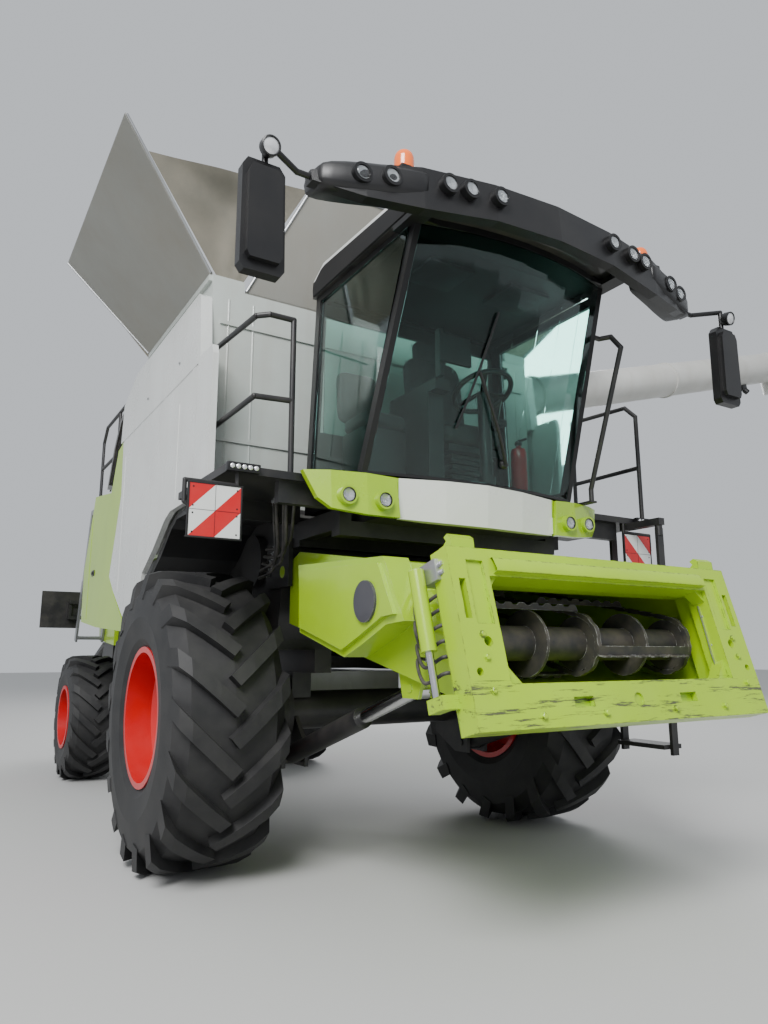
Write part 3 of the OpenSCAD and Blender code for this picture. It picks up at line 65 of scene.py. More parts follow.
# %% Where the machine stands
rail_low, rail_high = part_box("chassis")
rim_low, rim_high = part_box("front_rim_right")
axle_x = (rail_low.x + rail_high.x) / 2
axle_y = (rim_low.y + rim_high.y) / 2
SIDES = ((-1, "right"), (1, "left"))


def at(x, y, z):
    """A place on the machine, in metres from the front axle's middle on the ground."""
    return Vector((x + axle_x, y + axle_y, z))


print("front axle stands at", round(axle_x, 3), round(axle_y, 3))

# %% [markdown]
# Every finish is a small tree of nodes. Nodes can be placed by hand in the shader editor, but a script can
# be read and run again. These helpers add one node each, feed its inputs and hand back its result, so that
# a whole finish reads as a short list.

# %% Helpers for node trees
def feed(tree, socket, value):
    """Joins an input to another node's result, or gives it a plain value."""
    if isinstance(value, bpy.types.NodeSocket):
        tree.links.new(value, socket)
    else:
        socket.default_value = value


def add(tree, kind, inputs=None, **settings):
    """Adds a node with its settings and feeds its inputs."""
    made = tree.nodes.new(kind)
    for key, value in settings.items():
        setattr(made, key, value)
    for key, value in (inputs or {}).items():
        feed(tree, made.inputs[key], value)
    return made


def reckon(tree, operation, *values, clamp=False):
    """The result of one sum or one test."""
    made = add(tree, "ShaderNodeMath", dict(enumerate(values)), operation=operation, use_clamp=clamp)
    return made.outputs[0]


def ramp(tree, value, low, high):
    """Rises from 0 to 1 while the value goes from low to high."""
    return add(tree, "ShaderNodeMapRange", {"Value": value, "From Min": low, "From Max": high}).outputs[0]


def cloud(tree, size, detail, rough=0.5, pull=None):
    """A cloudy noise that is laid on the piece itself, and pulled longer along an axis where asked."""
    where = add(tree, "ShaderNodeTexCoord").outputs["Object"]
    if pull:
        where = add(tree, "ShaderNodeVectorMath", {0: where, 1: pull}, operation="MULTIPLY").outputs[0]
    noise = add(tree, "ShaderNodeTexNoise",
                {"Vector": where, "Scale": size, "Detail": detail, "Roughness": rough})
    return noise.outputs["Fac"]


def new_group(name, inputs, outputs):
    """An empty node group, with the sockets that bring its values in and those that take its masks out."""
    group = bpy.data.node_groups.new(name, "ShaderNodeTree")
    for label, value in inputs.items():
        socket = group.interface.new_socket(name=label, in_out="INPUT", socket_type="NodeSocketFloat")
        socket.default_value = value
    for label in outputs:
        group.interface.new_socket(name=label, in_out="OUTPUT", socket_type="NodeSocketFloat")
    return group, group.nodes.new("NodeGroupInput").outputs, group.nodes.new("NodeGroupOutput").inputs


def use(tree, group, **values):
    """Places a shared effect in a tree, with its own values."""
    placed = tree.nodes.new("ShaderNodeGroup")
    placed.node_tree = group
    for key, value in values.items():
        placed.inputs[key].default_value = value
    return placed


print("node helpers ready")

# %% [markdown]
# Dust on a farm machine lies on what faces up and gathers in soft patches. It could be painted into an
# image, but a noise has no seams and no fixed resolution. A cloudy noise gives the patches, and the height
# of the surface's normal gives the lie. Both are measured on the piece itself, so the dust stays in place
# when a panel swings.

# %% Shared effect: dust
dust, gin, gout = new_group("dust", {"Size": 2.5, "Amount": 0.5, "Lie": 0.5}, ["Mask"])
patch = ramp(dust, cloud(dust, gin["Size"], 7.0, 0.62), 0.38, 0.68)
normal = add(dust, "ShaderNodeNewGeometry").outputs["Normal"]
facing = add(dust, "ShaderNodeSeparateXYZ", {"Vector": normal})
lie = reckon(dust, "MULTIPLY", ramp(dust, facing.outputs["Z"], 0.1, 1.0), gin["Lie"])
both = reckon(dust, "ADD", patch, lie)
dust.links.new(reckon(dust, "MULTIPLY", both, gin["Amount"], clamp=True), gout["Mask"])
print("dust is a group of", len(dust.nodes), "nodes")

# %% [markdown]
# Rain draws the dust on an upright panel into streaks. The same noise, pulled long in height, makes them. A
# drawn line for each run would look more exact but would repeat, and the pulled noise never does.

# %% Shared effect: streaks
streaks, gin, gout = new_group("streaks", {"Size": 9.0, "Amount": 0.5}, ["Mask"])
thin = ramp(streaks, cloud(streaks, gin["Size"], 5.0, 0.6, pull=(1.0, 1.0, 0.09)), 0.48, 0.75)
streaks.links.new(reckon(streaks, "MULTIPLY", thin, gin["Amount"], clamp=True), gout["Mask"])
print("streaks are a group of", len(streaks.nodes), "nodes")

# %% [markdown]
# Paint wears first along edges. A bevel node bends the normal near an edge, so the angle between that bent
# normal and the true one marks the edge, whatever the mesh. A noise breaks the line up, as real knocks do.

# %% Shared effect: edge wear
edge_wear, gin, gout = new_group("edge_wear", {"Width": 0.006, "Amount": 0.6}, ["Mask"])
bent = add(edge_wear, "ShaderNodeBevel", {"Radius": gin["Width"]}, samples=4).outputs[0]
true = add(edge_wear, "ShaderNodeNewGeometry").outputs["Normal"]
angle = add(edge_wear, "ShaderNodeVectorMath", {0: bent, 1: true}, operation="DOT_PRODUCT").outputs["Value"]
knocks = ramp(edge_wear, cloud(edge_wear, 22.0, 6.0, 0.7), 0.47, 0.58)
worn = reckon(edge_wear, "MULTIPLY", ramp(edge_wear, angle, 0.98, 0.80), knocks)
edge_wear.links.new(reckon(edge_wear, "MULTIPLY", worn, gin["Amount"], clamp=True), gout["Mask"])
print("edge wear is a group of", len(edge_wear.nodes), "nodes")

# %% [markdown]
# No surface is quite smooth: moulded plastic has a leather-like grain, and paint a faint ripple. Both are
# far too fine for real geometry, so one group gives their height for a bump, at a size that each finish
# chooses.

# %% Shared effect: surface grain
grain, gin, gout = new_group("grain", {"Size": 300.0, "Ripple": 6.0}, ["Height"])
fine = cloud(grain, gin["Size"], 3.0, 0.55)
broad = cloud(grain, gin["Ripple"], 2.0)
grain.links.new(reckon(grain, "ADD", fine, broad), gout["Height"])
print("grain is a group of", len(grain.nodes), "nodes")

# %% [markdown]
# The frame that carries a header is rubbed by steel each time a header is hung up. Long scratches run
# across it. They could be modelled one by one, but a noise that is stretched sideways and cut to its
# sharpest crests gives hundreds of them, all different.

# %% Shared effect: scratches
scratches, gin, gout = new_group("scratches", {"Size": 16.0, "Amount": 0.8}, ["Mask"])
sharp = ramp(scratches, cloud(scratches, gin["Size"], 8.0, 0.75, pull=(0.16, 1.0, 1.9)), 0.55, 0.60)
scratches.links.new(reckon(scratches, "MULTIPLY", sharp, gin["Amount"], clamp=True), gout["Mask"])
print("scratches are a group of", len(scratches.nodes), "nodes")

# %% [markdown]
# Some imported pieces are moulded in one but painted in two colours, such as a wheel with its tyre. They
# could be split into faces with two materials, but the mesh would have to be cut along the paint's edge.
# Where the colours part is known on the machine, so these groups answer one question instead: is this spot
# inside that region? The left and right sides are alike, so the distance from the middle plane stands for
# both.

# %% Shared effect: regions of the machine
machine_place, gin, gout = new_group("machine_place", {}, ["Side", "Back", "Height"])
where = add(machine_place, "ShaderNodeTexCoord").outputs["Object"]
moved = add(machine_place, "ShaderNodeVectorMath", {0: where, 1: (axle_x, axle_y, 0.0)}, operation="SUBTRACT")
axes = add(machine_place, "ShaderNodeSeparateXYZ", {"Vector": moved.outputs[0]})
machine_place.links.new(reckon(machine_place, "ABSOLUTE", axes.outputs["X"]), gout["Side"])
machine_place.links.new(axes.outputs["Y"], gout["Back"])
machine_place.links.new(axes.outputs["Z"], gout["Height"])

LIMITS = {"Side0": 0.0, "Side1": 9.0, "Back0": -9.0, "Back1": 9.0, "Height0": 0.0, "Height1": 9.0}
region, gin, gout = new_group("region", LIMITS, ["Mask"])
spot = use(region, machine_place)
mask = None
for name in ("Side", "Back", "Height"):
    for operation, end in (("GREATER_THAN", "0"), ("LESS_THAN", "1")):
        test = reckon(region, operation, spot.outputs[name], gin[name + end])
        mask = test if mask is None else reckon(region, "MULTIPLY", mask, test)
region.links.new(mask, gout["Mask"])

round_region, gin, gout = new_group("round_region", {"Back": 0.0, "Height": 0.0, "Radius": 0.5}, ["Mask"])
spot = use(round_region, machine_place)
centre = add(round_region, "ShaderNodeCombineXYZ", {"Y": gin["Back"], "Z": gin["Height"]}).outputs[0]
flat = add(round_region, "ShaderNodeCombineXYZ", {"Y": spot.outputs["Back"], "Z": spot.outputs["Height"]})
far = add(round_region, "ShaderNodeVectorMath", {0: flat.outputs[0], 1: centre}, operation="DISTANCE")
round_region.links.new(reckon(round_region, "LESS_THAN", far.outputs["Value"], gin["Radius"]), gout["Mask"])
print("regions are ready")

# %% [markdown]
# The plates that mark the machine's width carry slanted red and white bars, a common road pattern. Each bar
# could be a thin sheet of its own, but paint has no thickness. This group turns the place across and up
# into bars of one width, and as it counts from the middle plane, the two plates mirror each other.

# %% Shared effect: slanted bars
bars, gin, gout = new_group("bars", {"Period": 0.2, "Start": 0.0}, ["Mask"])
spot = use(bars, machine_place)
slant = reckon(bars, "ADD", spot.outputs["Side"], spot.outputs["Height"])
turns = reckon(bars, "DIVIDE", reckon(bars, "SUBTRACT", slant, gin["Start"]), gin["Period"])
bars.links.new(reckon(bars, "GREATER_THAN", reckon(bars, "FRACT", turns), 0.5), gout["Mask"])
print("bars are a group of", len(bars.nodes), "nodes")

# %% [markdown]
# A finish starts as a Principled shader, which stands for paint, rubber, metal or cloth by its numbers
# alone. Its own numbers, such as the coat, stay on its sockets, and only what varies over the surface, such
# as dust, wear and a second colour, comes in through the groups.

# %% A helper that builds one finish
def blend(tree, mask, first, second):
    """Goes from first to second where the mask rises. The second is a colour or a plain number."""
    colour = isinstance(second, tuple)
    mix = add(tree, "ShaderNodeMix", data_type="RGBA" if colour else "FLOAT")
    tree.links.new(mask, mix.inputs[0])
    for index, value in zip((6, 7) if colour else (2, 3), (first, second)):
        feed(tree, mix.inputs[index], (*value, 1) if isinstance(value, tuple) else value)
    return mix.outputs[2 if colour else 0]


def zone(colour, rough, group=region, metal=0.0, **values):
    """A part of a piece that has its own colour, roughness and metal."""
    return group, values, colour, rough, metal


def finish(name, colour, rough=0.4, metal=0.0, coat=0.0, shade=None, dusty=(2.5, 0.3, 0.5), runs=None,
           wear=None, bump=(300.0, 6.0, 0.02), dust_colour=(0.33, 0.30, 0.25),
           worn_colour=(0.42, 0.42, 0.42), zones=(), scraped=None):
    """One finish: a colour that varies a little, then zones, scratches, dust, streaks, wear and grain."""
    made = bpy.data.materials.new(name)
    made.use_nodes = True
    tree = made.node_tree
    shader = tree.nodes["Principled BSDF"]
    shader.inputs["Coat Weight"].default_value = coat
    shader.inputs["Coat Roughness"].default_value = 0.08
    tint = use(tree, dust, Size=1.1, Amount=0.9, Lie=0.0)
    base = blend(tree, tint.outputs[0], colour, shade or tuple(c * 0.86 for c in colour))
    gloss = rough
    metallic = metal
    for group, values, zone_colour, zone_rough, zone_metal in zones:
        inside = use(tree, group, **values)
        base = blend(tree, inside.outputs[0], base, zone_colour)
        gloss = blend(tree, inside.outputs[0], gloss, zone_rough)
        if zone_metal != metal:
            metallic = blend(tree, inside.outputs[0], metallic, zone_metal)
    if scraped:
        marks = use(tree, scratches, Size=scraped[0], Amount=scraped[1])
        inside = use(tree, region, **scraped[2])
        rubbed = reckon(tree, "MULTIPLY", marks.outputs[0], inside.outputs[0])
        base = blend(tree, rubbed, base, worn_colour)
    lying = use(tree, dust, Size=dusty[0], Amount=dusty[1], Lie=dusty[2])
    base = blend(tree, lying.outputs[0], base, dust_colour)
    if runs:
        drawn = use(tree, streaks, Size=runs[0], Amount=runs[1])
        base = blend(tree, drawn.outputs[0], base, dust_colour)
    if wear:
        bared = use(tree, edge_wear, Width=wear[0], Amount=wear[1])
        base = blend(tree, bared.outputs[0], base, worn_colour)
    tree.links.new(base, shader.inputs["Base Color"])
    feed(tree, shader.inputs["Metallic"], metallic)
    tree.links.new(blend(tree, lying.outputs[0], gloss, 0.85), shader.inputs["Roughness"])
    ripple = use(tree, grain, Size=bump[0], Ripple=bump[1])
    relief = add(tree, "ShaderNodeBump",
                 {"Height": ripple.outputs[0], "Strength": 1.0, "Distance": bump[2] * 0.01})
    tree.links.new(relief.outputs[0], shader.inputs["Normal"])
    return made


print("finish helper ready")

# %% [markdown]
# The machine's own colours are a gloss lime paint, off-white body panels, a grey tank, black moulded
# plastic, dark grey frame paint and bright red rims. The photograph could be sampled for them, but its
# light is in every pixel, so each colour is changed until the render under an even sky looks right.

# %% Paints, plastics and cloth
LIME = (0.34, 0.55, 0.001)
TREAD_BLACK = (0.010, 0.010, 0.011)
TYRE = {"rough": 0.58, "dusty": (5.0, 0.12, 0.3), "bump": (260.0, 9.0, 0.12),
        "dust_colour": (0.13, 0.125, 0.115)}

lime_paint = finish("lime_paint", LIME, rough=0.30, coat=0.3, dusty=(3.0, 0.05, 0.4), wear=(0.006, 0.5))
pale_panel = finish("pale_panel", (0.66, 0.68, 0.66), rough=0.24, coat=0.5, dusty=(2.0, 0.12, 0.4),
                    runs=(11.0, 0.15))
flap_sheet = finish("flap_sheet", (0.27, 0.27, 0.245), rough=0.55, dusty=(1.2, 0.45, 0.4), runs=(6.0, 0.3),
                    dust_colour=(0.24, 0.22, 0.18), wear=(0.006, 0.8), worn_colour=(0.5, 0.5, 0.48))
black_plastic = finish("black_plastic", (0.007, 0.007, 0.008), rough=0.36, dusty=(3.0, 0.018, 0.5),
                       bump=(420.0, 5.0, 0.05))
dark_frame = finish("dark_frame", (0.014, 0.014, 0.016), rough=0.42, dusty=(4.0, 0.07, 0.6),
                    wear=(0.004, 0.35), worn_colour=(0.16, 0.15, 0.14))
red_rim = finish("red_rim", (0.56, 0.003, 0.006), rough=0.33, coat=0.3, dusty=(5.0, 0.04, 0.4))
auger_paint = finish("auger_paint", (0.60, 0.60, 0.57), rough=0.36, coat=0.2, dusty=(2.0, 0.20, 0.6),
                     runs=(8.0, 0.2))
engine_iron = finish("engine_iron", (0.06, 0.06, 0.06), rough=0.6, dusty=(4.0, 0.3, 0.5))
seat_cloth = finish("seat_cloth", (0.030, 0.030, 0.034), rough=0.9, dusty=(6.0, 0.05, 0.3),
                    bump=(900.0, 8.0, 0.2))
canvas = finish("canvas", (0.20, 0.19, 0.155), rough=0.85, dusty=(1.6, 0.6, 0.5), bump=(700.0, 5.0, 0.25),
                dust_colour=(0.31, 0.28, 0.22), shade=(0.13, 0.125, 0.10))
rubber = finish("tyre_rubber", TREAD_BLACK, **TYRE)
print("paints, plastics and cloth:", len(bpy.data.materials))

# %% [markdown]
# Bare metal comes in two kinds here: zinc-coated steel, with its mottled grey, and hard chrome on the rods.
# Both could share one shader, but the zinc is dull and patchy while the rod is almost a mirror.

# %% Metals
zinc_steel = finish("zinc_steel", (0.48, 0.49, 0.50), rough=0.38, metal=0.9, dusty=(30.0, 0.25, 0.2),
                    shade=(0.36, 0.37, 0.39), dust_colour=(0.30, 0.29, 0.27))
bright_rod = finish("bright_rod", (0.72, 0.72, 0.73), rough=0.12, metal=1.0, dusty=(8.0, 0.10, 0.3))
print("metals:", zinc_steel.name, bright_rod.name)

# %% [markdown]
# Cab glass is a clear sheet with a green tint, and lamp glass is almost without colour. A see-through
# material could also be mixed with a transparent shader, but transmission bends and mirrors light as a real
# pane does.

# %% Glass
def clear(name, colour, rough=0.02):
    """A see-through finish with faint dirt in its gloss."""
    made = bpy.data.materials.new(name)
    made.use_nodes = True
    tree = made.node_tree
    shader = tree.nodes["Principled BSDF"]
    shader.inputs["Transmission Weight"].default_value = 1.0
    shader.inputs["IOR"].default_value = 1.45
    haze = use(tree, dust, Size=4.0, Amount=0.5, Lie=0.3)
    film = add(tree, "ShaderNodeMapRange",
               {"Value": haze.outputs[0], "To Min": rough, "To Max": rough + 0.08})
    tree.links.new(film.outputs[0], shader.inputs["Roughness"])
    base = blend(tree, haze.outputs[0], colour, tuple(c * 0.93 for c in colour))
    tree.links.new(base, shader.inputs["Base Color"])
    return made


cab_glass = clear("cab_glass", (0.55, 0.82, 0.76))
lamp_glass = clear("lamp_glass", (0.92, 0.94, 0.95))
print("glass:", cab_glass.name, lamp_glass.name)

# %% [markdown]
# These finishes carry a second colour inside a region: the rim within a rear tyre, the white middle of the
# lime fascia, the black foot of a beacon or the bars of a marker plate. Each region's limits are the
# machine's own sizes, so the paint's edge falls on the form's edge.

# %% Finishes in two colours
BLACK = (0.006, 0.006, 0.007)
RED = (0.54, 0.003, 0.006)
WHITE = (0.72, 0.73, 0.71)
STEEL = (0.42, 0.42, 0.42)
FRONT_WHEEL = (0.0, 0.92)
REAR_WHEEL = (4.0, 0.65)
PLATE_SIDE, PLATE_HEIGHT, PLATE_SIZE = 1.644, 2.041, 0.282
plate_edge = PLATE_SIZE / 2 + 0.004

rear_wheel_finish = finish("rear_wheel", TREAD_BLACK, **TYRE, zones=[
    zone(RED, 0.33, round_region, Back=REAR_WHEEL[0], Height=REAR_WHEEL[1], Radius=0.327)])
fascia_finish = finish("fascia_finish", LIME, rough=0.26, coat=0.6, dusty=(3.0, 0.06, 0.4), zones=[
    zone(WHITE, 0.26, Side1=0.606),
    zone(BLACK, 0.5, Side1=0.705, Back0=-1.30)])
roof_finish = finish("roof_finish", (0.66, 0.67, 0.66), rough=0.3, coat=0.4, dusty=(2.0, 0.2, 0.7), zones=[
    zone(BLACK, 0.35, Height1=3.852)])
beacon_finish = finish("beacon_finish", (0.95, 0.16, 0.01), rough=0.15, coat=0.6, dusty=(4.0, 0.05, 0.3),
                       zones=[zone(BLACK, 0.4, Height1=3.8373), zone(BLACK, 0.4, Side0=0.38, Side1=0.44)])
plate_finish = finish("plate_finish", WHITE, rough=0.3, coat=0.3, dusty=(4.0, 0.08, 0.3), zones=[
    zone(RED, 0.3, bars, Period=PLATE_SIZE, Start=PLATE_SIDE + PLATE_HEIGHT),
    zone(BLACK, 0.5, Height0=PLATE_HEIGHT + plate_edge),
    zone(BLACK, 0.5, Side0=PLATE_SIDE + plate_edge),
    zone(BLACK, 0.5, Back0=-1.149)])
light_board = finish("light_board", BLACK, rough=0.4, dusty=(4.0, 0.1, 0.3))
chain_finish = finish("chain_finish", (0.045, 0.044, 0.045), rough=0.5, metal=0.3, dusty=(9.0, 0.35, 0.4),
                      dust_colour=(0.20, 0.17, 0.12), wear=(0.005, 1.0), worn_colour=(0.62, 0.62, 0.62))
drive_finish = finish("drive_finish", LIME, rough=0.28, coat=0.3, dusty=(3.0, 0.05, 0.4), wear=(0.006, 0.5),
                      zones=[zone((0.045, 0.045, 0.055), 0.5, Side0=1.0225)])
frame_finish = finish("frame_finish", (0.37, 0.59, 0.001), rough=0.33, coat=0.25, dusty=(5.0, 0.05, 0.4),
                      wear=(0.010, 1.0), worn_colour=(0.07, 0.08, 0.03),
                      scraped=(17.0, 1.0, {"Height1": 1.19}))
housing_finish = finish("housing_finish", WHITE, rough=0.3, coat=0.4, dusty=(2.0, 0.15, 0.6),
                        runs=(11.0, 0.15), zones=[zone(BLACK, 0.5, Side0=1.4205)])
tank_finish = finish("tank_finish", (0.47, 0.51, 0.48), rough=0.35, coat=0.3, dusty=(1.4, 0.25, 0.3),
                     runs=(7.0, 0.25),
                     zones=[zone(STEEL, 0.4, metal=0.8, Side1=1.32, Back0=-0.19, Back1=1.47, Height1=3.30)])
print("finishes so far:", len(bpy.data.materials))

# %% [markdown]
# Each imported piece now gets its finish. A piece keeps its shape, and only its material slots change, so the
# solids stay as exact as they came. One table from finish to pieces shows at a glance that none is left
# plain.

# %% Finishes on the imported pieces
DRESSED = [
    (dark_frame, "chassis front_axle rear_axle thresher_body straw_chopper engine_deck_rails platform "
                 "handrails access_ladder lift_barrels steering_knuckle_right steering_knuckle_left"),
    (pale_panel, "cleaning_shoe tank_side_bands side_panel_right_front side_panel_left_front"),
    (lime_paint, "rear_hood side_panel_right_rear side_panel_left_rear feeder_house"),
    (black_plastic, "wheel_arches cab_frame cab_visor cab_door cab_controls mirrors"),
    (flap_sheet, "tank_flap_right tank_flap_left tank_flap_front tank_flap_rear"),
    (bright_rod, "tilt_rod lift_rods steering_rod"),
    (cab_glass, "windscreen cab_glass cab_door_glass"),
    (zinc_steel, "rear_ladder rear_ladder_foot"),
    (auger_paint, "auger_turret auger_tube"),
    (red_rim, "front_rim_right front_rim_left"),
    (rubber, "front_tyre_right front_tyre_left"),
    (rear_wheel_finish, "rear_wheel_right rear_wheel_left"),
    (housing_finish, "engine_housing"),
    (roof_finish, "cab_roof"),
    (fascia_finish, "cab_fascia"),
    (drive_finish, "feeder_drive_cover"),
    (chain_finish, "feeder_chains"),
    (plate_finish, "marker_plates"),
    (light_board, "rear_lights"),
    (engine_iron, "engine_block"),
    (tank_finish, "grain_tank"),
    (frame_finish, "header_frame"),
    (canvas, "tank_corner_canvas"),
    (lamp_glass, "work_lamps"),
    (seat_cloth, "cab_seats"),
    (beacon_finish, "beacons"),
]
dressed = 0
for material, names in DRESSED:
    for name in names.split():
        slots = nodes[name].data.materials
        slots.clear()
        slots.append(material)
        dressed += 1
print("pieces with a finish:", dressed, "of", len(nodes))

# %% [markdown]
# The small pieces are made of a few kinds of form: blocks with softened edges, turned forms such as lamp
# bowls and bolt heads, tubes along a smooth line, and skins over rings of places. Blender's own primitives
# with modifiers would do too, but there are hundreds of forms, and a builder that collects many of them
# into one mesh keeps the scene light.

# %% A builder for small pieces
def smooth_line(points, steps=12):
    """A smooth line through the points, as many short steps."""
    points = [Vector(p) for p in points]
    padded = [points[0] * 2 - points[1], *points, points[-1] * 2 - points[-2]]
    line = []
    for a, b, c, d in zip(padded, padded[1:], padded[2:], padded[3:]):
        for step in range(steps):
            t = step / steps
            line.append(0.5 * (2 * b + (c - a) * t + (2 * a - 5 * b + 4 * c - d) * t * t
                               + (3 * b - a - 3 * c + d) * t ** 3))
    return [*line, points[-1]]


class Shape:
    """Forms that together make one piece."""

    def __init__(self):
        self.verts = []
        self.faces = []

    def take(self, verts, faces):
        """A form that is given by its corners and faces."""
        start = len(self.verts)
        self.verts += [tuple(v) for v in verts]
        self.faces += [[start + i for i in face] for face in faces]
        return self

    def pour(self, made, place=Matrix()):
        """A form that comes from a mesh being edited, which is then freed."""
        made.verts.index_update()
        self.take([place @ v.co for v in made.verts], [[v.index for v in f.verts] for f in made.faces])
        made.free()
        return self

    def loft(self, rings):
        """A skin over rings of places, closed at both ends."""
        wide = len(rings[0])
        last = (len(rings) - 1) * wide
        faces = [[row + k, row + (k + 1) % wide, row + wide + (k + 1) % wide, row + wide + k]
                 for row in range(0, last, wide) for k in range(wide)]
        ends = [list(range(wide))[::-1], list(range(last, last + wide))]
        return self.take([spot for ring in rings for spot in ring], faces + ends)

    def block(self, middle, size, soft=0.004, turn=None):
        """A block with softened edges."""
        made = bmesh.new()
        bmesh.ops.create_cube(made, size=1.0)
        bmesh.ops.scale(made, vec=size, verts=made.verts)
        bmesh.ops.bevel(made, geom=made.edges[:], offset=soft, segments=2, profile=0.6, affect="EDGES")
        return self.pour(made, Matrix.Translation(middle) @ (turn.to_4x4() if turn else Matrix()))

    def turned(self, profile, middle, along=(0, 0, 1), steps=32):
        """A turned form: pairs of radius and height along an axis."""
        place = Matrix.Translation(middle) @ Vector(along).to_track_quat("Z", "Y").to_matrix().to_4x4()
        turns = [math.tau * k / steps for k in range(steps)]
        return self.loft([[place @ Vector((r * math.cos(turn), r * math.sin(turn), h)) for turn in turns]
                          for r, h in profile])

    def tube(self, line, radius, sides=12):
        """A round bar along a line of places."""
        rings = []
        turns = [math.tau * k / sides for k in range(sides)]
        normal = (line[1] - line[0]).orthogonal().normalized()
        for index, spot in enumerate(line):
            ahead = (line[min(index + 1, len(line) - 1)] - line[max(index - 1, 0)]).normalized()
            normal = (normal - ahead * normal.dot(ahead)).normalized()
            across = ahead.cross(normal)
            rings.append([spot + normal * radius * math.cos(turn) + across * radius * math.sin(turn)
                          for turn in turns])
        return self.loft(rings)

    def make(self, name, finish_used, slot_name, body="root", crease=35):
        """Makes the piece, gives it its finish and lets it ride on a body."""
        mesh = bpy.data.meshes.new(name)
        mesh.from_pydata(self.verts, [], self.faces)
        mesh.update()
        made = bmesh.new()
        made.from_mesh(mesh)
        bmesh.ops.recalc_face_normals(made, faces=made.faces)
        for edge in made.edges:
            edge.smooth = len(edge.link_faces) == 2 and edge.calc_face_angle(3.0) < math.radians(crease)
        for face in made.faces:
            face.smooth = True
        made.to_mesh(mesh)
        made.free()
        mesh.materials.append(finish_used)
        obj = bpy.data.objects.new(name, mesh)
        bpy.context.scene.collection.objects.link(obj)
        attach(obj, body)
        return obj


print("builder ready")

# %% [markdown]
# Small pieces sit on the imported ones, so two things are read from the model and not typed: where a straight
# look meets a surface, and where the separate forms within one piece stand. A ray cast answers the first,
# and a walk along the mesh's edges the second.

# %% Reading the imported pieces
LOOKS = {}


def touch(node, start, way):
    """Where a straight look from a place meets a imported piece, and the surface's normal there."""
    if node not in LOOKS:
        mesh = nodes[node].data
        LOOKS[node] = BVHTree.FromPolygons([v.co.copy() for v in mesh.vertices],
                                           [list(p.vertices) for p in mesh.polygons])
    spot, normal, _, _ = LOOKS[node].ray_cast(Vector(start), Vector(way).normalized())
    return spot, normal


def islands(node):
    """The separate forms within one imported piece, from the rear to the front and from left to right."""
    made = bmesh.new()
    made.from_mesh(nodes[node].data)
    bmesh.ops.remove_doubles(made, verts=made.verts, dist=0.00002)
    left = set(made.verts)
    boxes = []
    while left:
        group = [left.pop()]
        for vert in group:
            for edge in vert.link_edges:
                other = edge.other_vert(vert)
                if other in left:
                    left.remove(other)
                    group.append(other)
        low = Vector(min(v.co[i] for v in group) for i in range(3))
        high = Vector(max(v.co[i] for v in group) for i in range(3))
        boxes.append((low, high, [v.co.copy() for v in group]))
    made.free()
    boxes.sort(key=lambda box: (-round(box[0].y, 2), -round(box[0].x, 2), -round(box[0].z, 2)))
    return boxes


work_lamps = islands("work_lamps")
print("work lamps on the machine:", len(work_lamps))

# %% [markdown]
# Each work lamp is a bright bowl behind a clear dome, held by a black ring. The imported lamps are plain
# discs that mark the place, so the full lamps stand in for them. A lamp is round, so turning one profile
# about its axis gives each layer, and its own glass lets the bowl show.

# %% Work lamps
reflector = finish("reflector", (0.86, 0.87, 0.88), rough=0.22, metal=0.55, dusty=(40.0, 0.04, 0.1))
bowls, domes, rings = Shape(), Shape(), Shape()
for low, high, _ in work_lamps:
    r = (high.x - low.x) / 2
    middle = Vector(((low.x + high.x) / 2, low.y, (low.z + high.z) / 2))
    bowls.turned([(0.004, 0.016), (0.012, 0.015), (0.012, 0.012), (r * 0.55, 0.008), (r * 0.86, 0.0),
                  (r * 0.90, 0.0), (r * 0.60, 0.018)], middle, (0, 1, 0))
    domes.turned([(0.001, -0.010), (r * 0.35, -0.009), (r * 0.65, -0.006), (r * 0.86, 0.0), (r * 0.84, 0.002),
                  (r * 0.60, -0.003), (0.001, -0.006)], middle, (0, 1, 0))
    rings.turned([(r * 0.87, 0.017), (r * 0.87, -0.002), (r * 0.93, -0.008), (r * 0.998, -0.007),
                  (r * 0.998, 0.017)], middle, (0, 1, 0))
lamp_bowls = bowls.make("lamp_bowls", reflector, "lamp_lens")
domes.make("lamp_domes", lamp_glass, "lamp_lens")
rings.make("lamp_rings", black_plastic, "black_plastic")
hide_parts("work_lamps")
print("lamps made:", len(work_lamps))

# %% [markdown]
# At each end the visor swells into a thick wing that holds two lamps. It could be sculpted, but a loft is
# easier to control: one rounded outline is carried along the visor's line, a little smaller at both ends,
# just behind the lamps' faces.

# %% Visor wings
half_row = sorted((((low.x + high.x) / 2 - axle_x, low.y - axle_y, (low.z + high.z) / 2)
                   for low, high, _ in work_lamps if low.z > 3.2), key=lambda spot: spot[0])
half_row = [spot for spot in half_row if spot[0] > 0]


def follow(x, index):
    """The lamp row's depth or height at this distance from the middle, carried on past its ends."""
    for first, second in zip(half_row, half_row[1:]):
        if x <= second[0] or second is half_row[-1]:
            share = (x - first[0]) / (second[0] - first[0])
            return first[index] + (second[index] - first[index]) * share


